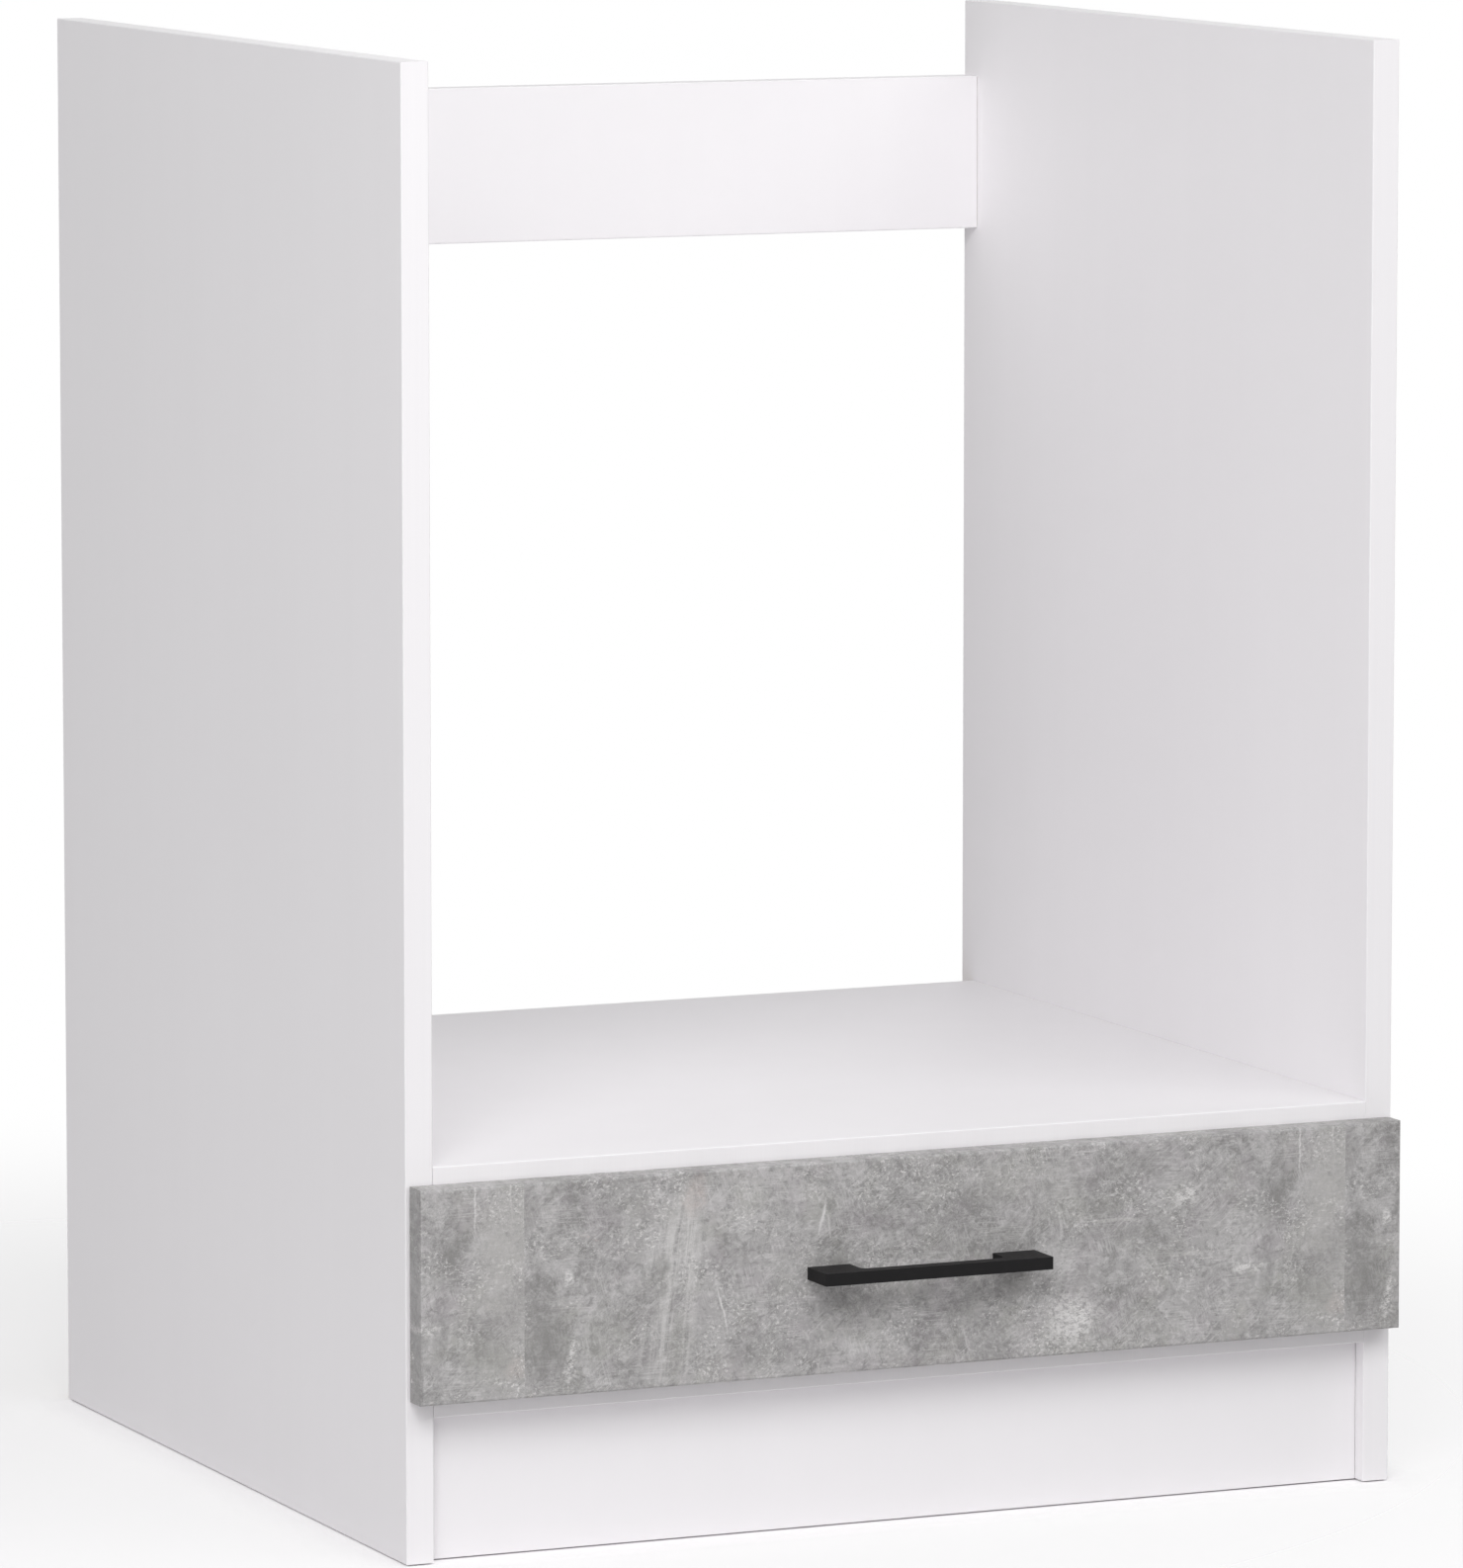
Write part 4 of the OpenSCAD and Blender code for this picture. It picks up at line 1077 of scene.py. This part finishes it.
class FastenerTree:
    """Geometry Nodes tree that sets one form on every point, along the point's aim."""

    title: str
    sizes: tuple[str, ...]
    counts: tuple[str, ...] = ("Seed",)
    spin: float

    def __init__(self) -> None:
        """Builds the tree with its named inputs."""
        self.tree = tree = bpy.data.node_groups.new(self.title, "GeometryNodeTree")
        kinds = {"Places": "Geometry", **dict.fromkeys(self.sizes, "Float"),
                 **dict.fromkeys(self.counts, "Int"), "Finish": "Material"}
        self.keys = {n: tree.interface.new_socket(n, in_out="INPUT", socket_type="NodeSocket" + k).identifier
                     for n, k in kinds.items()}
        tree.interface.new_socket("Pieces", in_out="OUTPUT", socket_type="NodeSocketGeometry")
        self.inputs = add_node(tree, "NodeGroupInput").outputs
        aim = add_node(tree, "GeometryNodeInputNamedAttribute", {"Name": "aim"}, data_type="FLOAT_VECTOR")
        aimed = next(s for s in aim.outputs if s.enabled and s.name == "Attribute")
        aligned = add_node(tree, "FunctionNodeAlignRotationToVector", {"Vector": aimed}, axis="Z")
        # A random number takes its least, its most and its seed at inputs 2, 3 and 8
        turn = add_node(tree, "FunctionNodeRandomValue", {2: 0.0, 3: self.spin, 8: self.inputs["Seed"]},
                        data_type="FLOAT")
        spun = add_node(tree, "FunctionNodeAxisAngleToRotation", {
            "Axis": (0, 0, 1), "Angle": turn.outputs[1]})
        turned = add_node(tree, "FunctionNodeRotateRotation", {
            "Rotation": aligned.outputs[0], "Rotate By": spun.outputs[0]}, rotation_space="LOCAL")
        placed = add_node(tree, "GeometryNodeInstanceOnPoints", {
            "Points": self.inputs["Places"], "Instance": self.form(), "Rotation": turned.outputs[0]})
        real = add_node(tree, "GeometryNodeRealizeInstances", {"Geometry": placed.outputs[0]})
        dressed = add_node(tree, "GeometryNodeSetMaterial", {
            "Geometry": real.outputs[0], "Material": self.inputs["Finish"]})
        add_node(tree, "NodeGroupOutput", {0: dressed.outputs[0]})

    def form(self) -> Socket:
        """Builds the form that stands on each point, with its length along Z."""
        raise NotImplementedError

    def share(self, size: str, factor: float) -> Socket:
        """Returns a share of one of the named sizes."""
        return add_node(self.tree, "ShaderNodeMath", {0: self.inputs[size], 1: factor},
                        operation="MULTIPLY").outputs[0]

    def up(self, height: Socket) -> Socket:
        """Returns the point at a height on the form's axis."""
        return add_node(self.tree, "ShaderNodeCombineXYZ", {"Z": height}).outputs[0]

    def lifted(self, part: Socket, height: Socket, turn: Vec3 = (0, 0, 0)) -> Socket:
        """Moves a part of the form along its axis.

        Args:
            part: The part's geometry.
            height: How far up it goes.
            turn: A rotation that comes first.

        Returns:
            The moved geometry.
        """
        return add_node(self.tree, "GeometryNodeTransform", {
            "Geometry": part, "Translation": self.up(height), "Rotation": turn}).outputs[0]


class ScrewTree(FastenerTree):
    """Geometry Nodes tree of cross-head wood screws."""

    title = "cross_head_screws"
    sizes = ("Length", "Shank Radius", "Head Radius", "Head Top Radius", "Head Height", "Sink", "Pitch")
    spin = math.pi / 2
    # Shares of the shank's radius that its core and its thread's ridge take
    CORE, RIDGE = 0.72, 0.27
    # Shares of the length: the tip, the thread's rise, and how far down the thread starts
    TIP, RISE, FOOT = 0.16, 0.8, 0.92
    # The cross's arms, as shares of the head's radius, twice, and of its height
    ARM_LONG, ARM_WIDE, ARM_DEEP = 1.15, 0.26, 1.5
    # Corners of the round parts, steps in a turn of the thread, corners of its ridge
    ROD_SIDES, HEAD_SIDES, TURN_STEPS, RIDGE_SIDES = 16, 28, 14, 3
    TIP_RADIUS_M = 0.0001

    def form(self) -> Socket:
        """Builds a screw: a head with a cross cut in it, a core, a tip and a thread.

        Returns:
            Its geometry.
        """
        tree, inputs = self.tree, self.inputs
        core = self.share("Shank Radius", self.CORE)
        rod = add_node(tree, "GeometryNodeMeshCylinder", {
            "Vertices": self.ROD_SIDES, "Radius": core,
            "Depth": self.share("Length", 1 - self.TIP)}).outputs["Mesh"]
        tip = add_node(tree, "GeometryNodeMeshCone", {
            "Vertices": self.ROD_SIDES, "Radius Top": self.TIP_RADIUS_M, "Radius Bottom": core,
            "Depth": self.share("Length", self.TIP)}).outputs["Mesh"]
        rise = self.share("Length", self.RISE)
        turns = add_node(tree, "ShaderNodeMath", {0: rise, 1: inputs["Pitch"]}, operation="DIVIDE").outputs[0]
        helix = add_node(tree, "GeometryNodeCurveSpiral", {
            "Resolution": self.TURN_STEPS, "Rotations": turns, "Start Radius": core, "End Radius": core,
            "Height": rise})
        ridge = add_node(tree, "GeometryNodeCurvePrimitiveCircle", {
            "Resolution": self.RIDGE_SIDES, "Radius": self.share("Shank Radius", self.RIDGE)})
        thread = add_node(tree, "GeometryNodeCurveToMesh", {
            "Curve": helix.outputs[0], "Profile Curve": ridge.outputs["Curve"], "Fill Caps": True}).outputs[0]
        head = add_node(tree, "GeometryNodeMeshCone", {
            "Vertices": self.HEAD_SIDES, "Radius Top": inputs["Head Top Radius"],
            "Radius Bottom": inputs["Head Radius"], "Depth": inputs["Head Height"]}).outputs["Mesh"]
        arm_size = add_node(tree, "ShaderNodeCombineXYZ", {
            "X": self.share("Head Radius", self.ARM_LONG), "Y": self.share("Head Radius", self.ARM_WIDE),
            "Z": self.share("Head Height", self.ARM_DEEP)}).outputs[0]
        arm = add_node(tree, "GeometryNodeMeshCube", {"Size": arm_size}).outputs["Mesh"]
        top = add_node(tree, "ShaderNodeMath", {0: inputs["Head Height"], 1: inputs["Sink"]}).outputs[0]
        cross = add_node(tree, "GeometryNodeMeshBoolean", {"Mesh 1": self.lifted(head, inputs["Sink"])},
                         operation="DIFFERENCE")
        for turn in (0, math.pi / 2):
            tree.links.new(self.lifted(arm, top, (0, 0, turn)), cross.inputs["Mesh 2"])
        join = add_node(tree, "GeometryNodeJoinGeometry")
        for part in (cross.outputs["Mesh"], self.lifted(rod, self.share("Length", (self.TIP - 1) / 2)),
                     self.lifted(tip, self.share("Length", self.TIP - 1), (math.pi, 0, 0)),
                     self.lifted(thread, self.share("Length", -self.FOOT))):
            tree.links.new(part, join.inputs[0])
        return join.outputs[0]


class DowelTree(FastenerTree):
    """Geometry Nodes tree of fluted dowels."""

    title = "fluted_dowels"
    sizes = ("Length", "Radius", "Flute Depth", "Chamfer")
    counts = ("Flutes", "Seed")
    spin = math.pi
    STEPS = 61
    END_SHARE = 0.76

    def form(self) -> Socket:
        """Builds a dowel: a star section along a line, drawn in towards both ends.

        Returns:
            Its geometry.
        """
        tree, inputs = self.tree, self.inputs
        line = add_node(tree, "GeometryNodeCurvePrimitiveLine", {
            "Start": self.up(self.share("Length", -0.5)), "End": self.up(self.share("Length", 0.5))})
        fine = add_node(tree, "GeometryNodeResampleCurve", {"Curve": line.outputs[0], "Count": self.STEPS})
        along = add_node(tree, "GeometryNodeSplineParameter").outputs["Length"]
        rest = add_node(tree, "ShaderNodeMath", {0: inputs["Length"], 1: along},
                        operation="SUBTRACT").outputs[0]
        inside = add_node(tree, "ShaderNodeMath", {0: along, 1: rest}, operation="MINIMUM").outputs[0]
        taper = add_node(tree, "ShaderNodeMapRange", {
            "Value": inside, "From Max": inputs["Chamfer"], "To Min": self.END_SHARE}).outputs[0]
        valley = add_node(tree, "ShaderNodeMath", {0: inputs["Radius"], 1: inputs["Flute Depth"]},
                          operation="SUBTRACT").outputs[0]
        star = add_node(tree, "GeometryNodeCurveStar", {
            "Points": inputs["Flutes"], "Inner Radius": valley, "Outer Radius": inputs["Radius"]})
        return add_node(tree, "GeometryNodeCurveToMesh", {
            "Curve": fine.outputs[0], "Profile Curve": star.outputs["Curve"], "Scale": taper,
            "Fill Caps": True}).outputs[0]


@dataclass
class Fasteners(Part):
    """A group of equal fasteners that are where a CAD node's solids are."""

    def grown(self, tree: FastenerTree, places: list[Vector], aims: list[Vec3],
              values: dict[str, float | Material]) -> Piece:
        """Lets a tree build the group as one piece.

        Args:
            tree: The fasteners' tree.
            places: Where they are, in metres.
            aims: The direction of each one's Z.
            values: The tree's inputs by name.

        Returns:
            The piece.
        """
        data = bpy.data.meshes.new(self.node + "_places")
        data.from_pydata(places, [], [])
        aimed = data.attributes.new("aim", "FLOAT_VECTOR", "POINT")
        aimed.data.foreach_set("vector", [c for a in aims for c in a])
        draft = put(self.node + "_draft", data)
        grow = draft.modifiers.new("fasteners", "NODES")
        grow.node_group = tree.tree
        for name, value in values.items():
            grow[tree.keys[name]] = value
        return self.baked(draft, "_set")


@dataclass
class Dowels(Fasteners):
    """A group of equal fluted dowels."""

    flutes: int = 18
    flute_mm: float = 0.35
    chamfer_mm: float = 1.0
    seed: int = 2

    def build(self, tree: DowelTree, finish: Material) -> Piece:
        """Builds the group.

        Args:
            tree: The tree that grows such fasteners.
            finish: Their finish.

        Returns:
            The piece.
        """
        group = solids(self.node)
        aims = [tuple(float(k == s.axis) for k in range(3)) for s in group]
        return self.grown(tree, [s.middle for s in group], aims, {
            "Length": max(group[-1].size), "Radius": min(group[-1].size) / 2,
            "Flutes": self.flutes, "Flute Depth": self.flute_mm * MM, "Chamfer": self.chamfer_mm * MM,
            "Seed": self.seed, "Finish": finish})


@dataclass
class Screws(Fasteners):
    """A group of equal screws with a raised or a sunk head."""

    shank_mm: float = 3.5
    head_mm: float = 7.0
    head_top_mm: float = 4.48
    head_high_mm: float = 1.6
    pitch_mm: float = 1.6
    sunk: bool = False
    seed: int = 3

    @staticmethod
    def heading(solid: Solid) -> int:
        """Finds the way along a screw's axis in which its head, the widest part, looks.

        Args:
            solid: The screw's solid.

        Returns:
            1 or -1.
        """
        aside = [k for k in range(3) if k != solid.axis]
        widest = max(solid.corners, key=lambda c: sum((c[k] - solid.middle[k]) ** 2 for k in aside))
        return 1 if widest[solid.axis] > solid.middle[solid.axis] else -1

    def build(self, tree: ScrewTree, finish: Material) -> Piece:
        """Builds the group.

        Args:
            tree: The tree that grows such fasteners.
            finish: Their finish.

        Returns:
            The piece.
        """
        head_high = self.head_high_mm * MM
        raised = 0.0 if self.sunk else head_high
        seats, aims, length = [], [], 0.0
        for solid in solids(self.node):
            axis, out = solid.axis, self.heading(solid)
            seat = solid.middle.copy()
            seat[axis] = (solid.high[axis] if out > 0 else solid.low[axis]) - out * raised
            seats.append(seat)
            aims.append(tuple(out * (k == axis) for k in range(3)))
            length = solid.size[axis] - raised
        under, upper = (self.head_top_mm, self.head_mm) if self.sunk else (self.head_mm, self.head_top_mm)
        return self.grown(tree, seats, aims, {
            "Length": length, "Shank Radius": self.shank_mm / 2 * MM,
            "Head Radius": under / 2 * MM, "Head Top Radius": upper / 2 * MM,
            "Head Height": head_high, "Sink": -head_high if self.sunk else 0.0,
            "Pitch": self.pitch_mm * MM, "Seed": self.seed, "Finish": finish})


# Sub-assemblies


@dataclass
class Assembly:
    """What every sub-assembly of the cabinet is made with."""

    finishes: Finishes
    screws: ScrewTree
    dowels: DowelTree

    def build(self) -> None:
        """Builds all pieces of the sub-assembly."""
        raise NotImplementedError


@dataclass
class Carcass(Assembly):
    """The white box: sides, bottom, shelf, rail, plinth and their fittings."""

    body: str = "carcass"
    shelf_joint_mm: float = 0.1
    rail_joint_mm: float = 0.2
    cam_arris_mm: float = 0.2
    block_arris_mm: float = 0.4
    block_rib_mm: float = 2.5

    def boards(self) -> None:
        """Builds the six boards."""
        for node, faces, sealed, joint_mm in (
                ("left_side_panel", Axis.X, (Axis.Z,), 0.0),
                ("right_side_panel", Axis.X, (Axis.Z,), 0.0),
                ("bottom_panel", Axis.Z, (), self.shelf_joint_mm),
                ("oven_shelf", Axis.Z, (), self.shelf_joint_mm),
                ("rear_rail", Axis.Y, (), self.rail_joint_mm),
                ("plinth_board", Axis.Y, (Axis.X, Axis.Z), 0.0)):
            Board(node, self.body, "melamine_white", joint_mm=joint_mm, faces=faces, sealed=sealed).build(
                self.finishes.melamine, self.finishes.core)

    def bands(self) -> None:
        """Builds the edge bands."""
        Copy("edge_bands", self.body, "edge_white").build(self.finishes.band)

    def fittings(self) -> None:
        """Builds the bolts, cams, dowels, corner blocks and their screws."""
        Copy("fitting_bolts", self.body, "zinc_steel").build(self.finishes.zinc)
        Copy("cam_locks", self.body, "zinc_cast", self.cam_arris_mm, steps=1).build(self.finishes.cast)
        Dowels("carcass_dowels", self.body, "beech_wood").build(self.dowels, self.finishes.beech)
        Copy("plinth_blocks", self.body, "block_plastic", self.block_arris_mm,
             least_mm=self.block_rib_mm).build(self.finishes.moulded)
        Screws("plinth_block_screws", self.body, "zinc_steel").build(self.screws, self.finishes.zinc)

    def build(self) -> None:
        """Builds everything."""
        self.boards()
        self.bands()
        self.fittings()


@dataclass
class Runners(Assembly):
    """The roller runners: channels, hangers, rollers and axles on both sides."""

    arris_mm: float = 0.2
    sheet_mm: float = 2.0

    def build(self) -> None:
        """Builds everything."""
        for side in ("left", "right"):
            for node, body in (("cabinet_runner_", "carcass"), ("drawer_runner_", "drawer")):
                Copy(node + side, body, "runner_epoxy", self.arris_mm,
                     least_mm=self.sheet_mm).build(self.finishes.epoxy)
            for roller in ("front_roller_" + side, "rear_roller_" + side):
                Copy(roller, roller, "roller_nylon").build(self.finishes.nylon)
        zinc = self.finishes.zinc
        Copy("front_roller_axles", "carcass", "zinc_steel").build(zinc)
        Copy("rear_roller_axles", "drawer", "zinc_steel").build(zinc)
        Screws("cabinet_runner_screws", "carcass", "zinc_steel", seed=5).build(self.screws, zinc)
        Screws("drawer_runner_screws", "drawer", "zinc_steel", seed=6).build(self.screws, zinc)


@dataclass
class Front(Assembly):
    """The drawer front with its handle and bumpers."""

    body: str = "drawer"
    arris_mm: float = 0.25
    handle_arris_mm: float = 0.35
    handle_least_mm: float = 0.2
    bumper_arris_mm: float = 0.3

    def build(self) -> None:
        """Builds everything."""
        DecorFront("drawer_front", self.body, "concrete_laminate", "_panel", self.arris_mm, steps=2).build(
            self.finishes.concrete, self.finishes.core)
        Copy("handle", self.body, "handle_black", self.handle_arris_mm, 3,
             self.handle_least_mm).build(self.finishes.black)
        Copy("front_bumpers", self.body, "bumper_soft", self.bumper_arris_mm, 3).build(self.finishes.clear)
        Screws("handle_screws", self.body, "zinc_steel", shank_mm=4.0, head_mm=8.0, head_top_mm=4.8,
               head_high_mm=2.4, pitch_mm=0.7, seed=7).build(self.screws, self.finishes.zinc)


@dataclass
class DrawerBox(Assembly):
    """The drawer's box: sides, back, bottom and their fittings."""

    body: str = "drawer"
    sheet_arris_mm: float = 0.15
    cam_arris_mm: float = 0.2

    def boards(self) -> None:
        """Builds the foil-wrapped boards and the lacquered bottom."""
        for node, length in (("drawer_side_left", Axis.Y), ("drawer_side_right", Axis.Y),
                             ("drawer_back", Axis.X)):
            FoilBoard(node, self.body, "foil_white", length=length).build(
                self.finishes.foil, self.finishes.core)
        Sheet("drawer_bottom", self.body, "fibreboard_white", "_sheet", self.sheet_arris_mm).build(
            self.finishes.lacquer, self.finishes.fibre)

    def build(self) -> None:
        """Builds everything."""
        self.boards()
        Copy("drawer_fitting_bolts", self.body, "zinc_steel").build(self.finishes.zinc)
        Copy("drawer_cam_locks", self.body, "zinc_cast", self.cam_arris_mm, steps=1).build(self.finishes.cast)
        Dowels("drawer_dowels", self.body, "beech_wood", flutes=14, flute_mm=0.3,
               seed=4).build(self.dowels, self.finishes.beech)
        Screws("drawer_back_screws", self.body, "zinc_steel", head_top_mm=3.5, head_high_mm=1.95, sunk=True,
               seed=8).build(self.screws, self.finishes.zinc)
        Screws("drawer_bottom_screws", self.body, "zinc_steel", seed=9).build(self.screws, self.finishes.zinc)


@dataclass(frozen=True)
class Lamp:
    """One square soft lamp, which the camera doesn't see."""

    name: str
    place: Vec3
    target: Vec3
    side_m: float
    watt: float
    mirrored: bool = True

    def hang(self) -> None:
        """Hangs the lamp at its place, turned towards its target."""
        data = bpy.data.lights.new(self.name, "AREA")
        data.shape = "SQUARE"
        data.size = self.side_m
        data.energy = self.watt
        lamp = put(self.name, data)
        lamp.location = self.place
        lamp.visible_camera = False
        lamp.visible_glossy = self.mirrored
        lamp.rotation_euler = (Vector(self.target) - Vector(self.place)).to_track_quat("-Z", "Y").to_euler()


@dataclass
class Studio:
    """Floor, light and camera."""

    camera_m: Vec3 = (-2.2763, -5.1649, 1.0896)
    yaw_deg: float = 23.801
    pitch_deg: float = -7.12
    lens_mm: float = 227.75
    sensor_mm: float = 36.0
    sight_m: float = 60.0
    ambient: float = 0.3
    # The floor lies a little lower than the feet, so that their contact shows as a thin dark line
    floor_m: float = 30.0
    floor_drop_mm: float = 0.9
    floor_colour: str = "#FEFCFE"
    # How clear the floor is near the object, to the eye and to light that bounces off it
    floor_clear: float = 0.57
    bounce_clear: float = 0.7
    # The floor's tone fades into the background from the first to the second distance round this place
    shade_centre_m: Vec3 = (-0.2, 0.2, 0.0)
    fade_m: tuple[float, float] = (0.3, 1.2)
    contact_m: float = 0.03
    contact_samples: int = 8
    lamps: tuple[Lamp, ...] = (
        Lamp("key", (-1.7, -3.6, 3.3), (0.0, 0.0, 0.3), 2.0, 38.6),
        Lamp("near", (-1.2, -2.0, 1.9), (0.0, 0.1, 0.35), 1.2, 15.9),
        Lamp("right", (1.7, -3.2, 3.3), (0.0, 0.0, 0.3), 3.0, 33.4),
        Lamp("high", (1.4, -2.6, 3.6), (0.0, 0.0, 0.3), 4.0, 29.1),
        Lamp("low", (-3.4, -4.0, 1.8), (0.0, 0.0, 0.4), 2.5, 30.4),
        Lamp("side", (-3.0, -0.6, 2.0), (0.0, 0.0, 0.4), 1.6, 12.5),
        Lamp("rear", (2.2, 3.4, 0.6), (0.0, 0.0, 0.4), 1.0, 33.6, mirrored=False),
    )

    @staticmethod
    def seen(tree: bpy.types.NodeTree) -> Socket:
        """Says whether a ray shows the background, to the eye or in gloss and glass.

        Args:
            tree: The tree that gets the nodes.

        Returns:
            A socket that is 1 for such a ray and 0 for one that only lights.
        """
        path = add_node(tree, "ShaderNodeLightPath").outputs
        direct = add_node(tree, "ShaderNodeMath", {0: path["Is Camera Ray"], 1: path["Is Transmission Ray"]},
                          operation="MAXIMUM").outputs[0]
        return add_node(tree, "ShaderNodeMath", {0: direct, 1: path["Is Glossy Ray"]},
                        operation="MAXIMUM").outputs[0]

    def floor(self) -> None:
        """Builds the pale floor, which fades into the white background far off."""
        mesh = bmesh.new()
        bmesh.ops.create_grid(mesh, x_segments=8, y_segments=8, size=self.floor_m,
                              matrix=Matrix.Translation((0, 0, -self.floor_drop_mm * MM)))
        data = bpy.data.meshes.new("floor")
        mesh.to_mesh(data)
        mesh.free()
        ground = put("floor", data)
        material = bpy.data.materials.new("floor_white")
        material.use_nodes = True
        tree = material.node_tree
        tree.nodes.clear()
        place = add_node(tree, "ShaderNodeTexCoord").outputs["Object"]
        far = add_node(tree, "ShaderNodeVectorMath", {0: place, 1: self.shade_centre_m},
                       operation="DISTANCE").outputs["Value"]
        fade = add_node(tree, "ShaderNodeMapRange", {
            "Value": far, "From Min": self.fade_m[0], "From Max": self.fade_m[1], "To Min": self.floor_clear},
            interpolation_type="SMOOTHSTEP").outputs[0]
        open_air = add_node(tree, "ShaderNodeAmbientOcclusion", {"Distance": self.contact_m},
                            samples=self.contact_samples).outputs["AO"]
        clear_share = add_node(tree, "ShaderNodeMath", {0: fade, 1: open_air},
                               operation="MULTIPLY").outputs[0]
        lit = add_node(tree, "ShaderNodeMath", {
            0: self.seen(tree), 1: 1.0 - self.bounce_clear, 2: self.bounce_clear},
            operation="MULTIPLY_ADD").outputs[0]
        share = add_node(tree, "ShaderNodeMath", {0: clear_share, 1: lit}, operation="MULTIPLY").outputs[0]
        matt = add_node(tree, "ShaderNodeBsdfDiffuse", {"Color": linear(self.floor_colour)})
        clear = add_node(tree, "ShaderNodeBsdfTransparent")
        mix = add_node(tree, "ShaderNodeMixShader", {0: share, 1: matt.outputs[0], 2: clear.outputs[0]})
        add_node(tree, "ShaderNodeOutputMaterial", {"Surface": mix.outputs[0]})
        data.materials.append(material)

    def world(self) -> None:
        """Sets the soft light from all sides and the white background behind it."""
        world = bpy.data.worlds.new("studio")
        world.use_nodes = True
        bpy.context.scene.world = world
        tree = world.node_tree
        tree.nodes.clear()
        soft = add_node(tree, "ShaderNodeBackground", {"Color": (1, 1, 1, 1), "Strength": self.ambient})
        white = add_node(tree, "ShaderNodeBackground", {"Color": (1, 1, 1, 1), "Strength": 1.0})
        mix = add_node(tree, "ShaderNodeMixShader", {
            0: self.seen(tree), 1: soft.outputs[0], 2: white.outputs[0]})
        add_node(tree, "ShaderNodeOutputWorld", {"Surface": mix.outputs[0]})

    def camera(self) -> None:
        """Sets the camera at the photograph's place and angle."""
        data = bpy.data.cameras.new("camera")
        data.lens = self.lens_mm
        data.sensor_width = self.sensor_mm
        data.clip_end = self.sight_m
        view = put("camera", data)
        yaw, pitch = math.radians(self.yaw_deg), math.radians(self.pitch_deg)
        ahead = Vector((math.sin(yaw) * math.cos(pitch), math.cos(yaw) * math.cos(pitch), math.sin(pitch)))
        view.location = self.camera_m
        view.rotation_euler = ahead.to_track_quat("-Z", "Y").to_euler()
        bpy.context.scene.camera = view

    def build(self) -> None:
        """Builds everything."""
        self.camera()
        self.world()
        self.floor()
        for lamp in self.lamps:
            lamp.hang()
        bpy.context.scene.view_settings.view_transform = "Standard"


def main() -> None:
    """Builds the cabinet and its studio."""
    logging.basicConfig(level=logging.INFO, format="%(name)s: %(message)s")
    Studio().build()
    finishes = Finishes()
    screws = ScrewTree()
    dowels = DowelTree()
    for kind in (Carcass, Runners, Front, DrawerBox):
        LOG.info("building %s", kind.__name__)
        kind(finishes, screws, dowels).build()


if __name__ == "__main__":
    main()
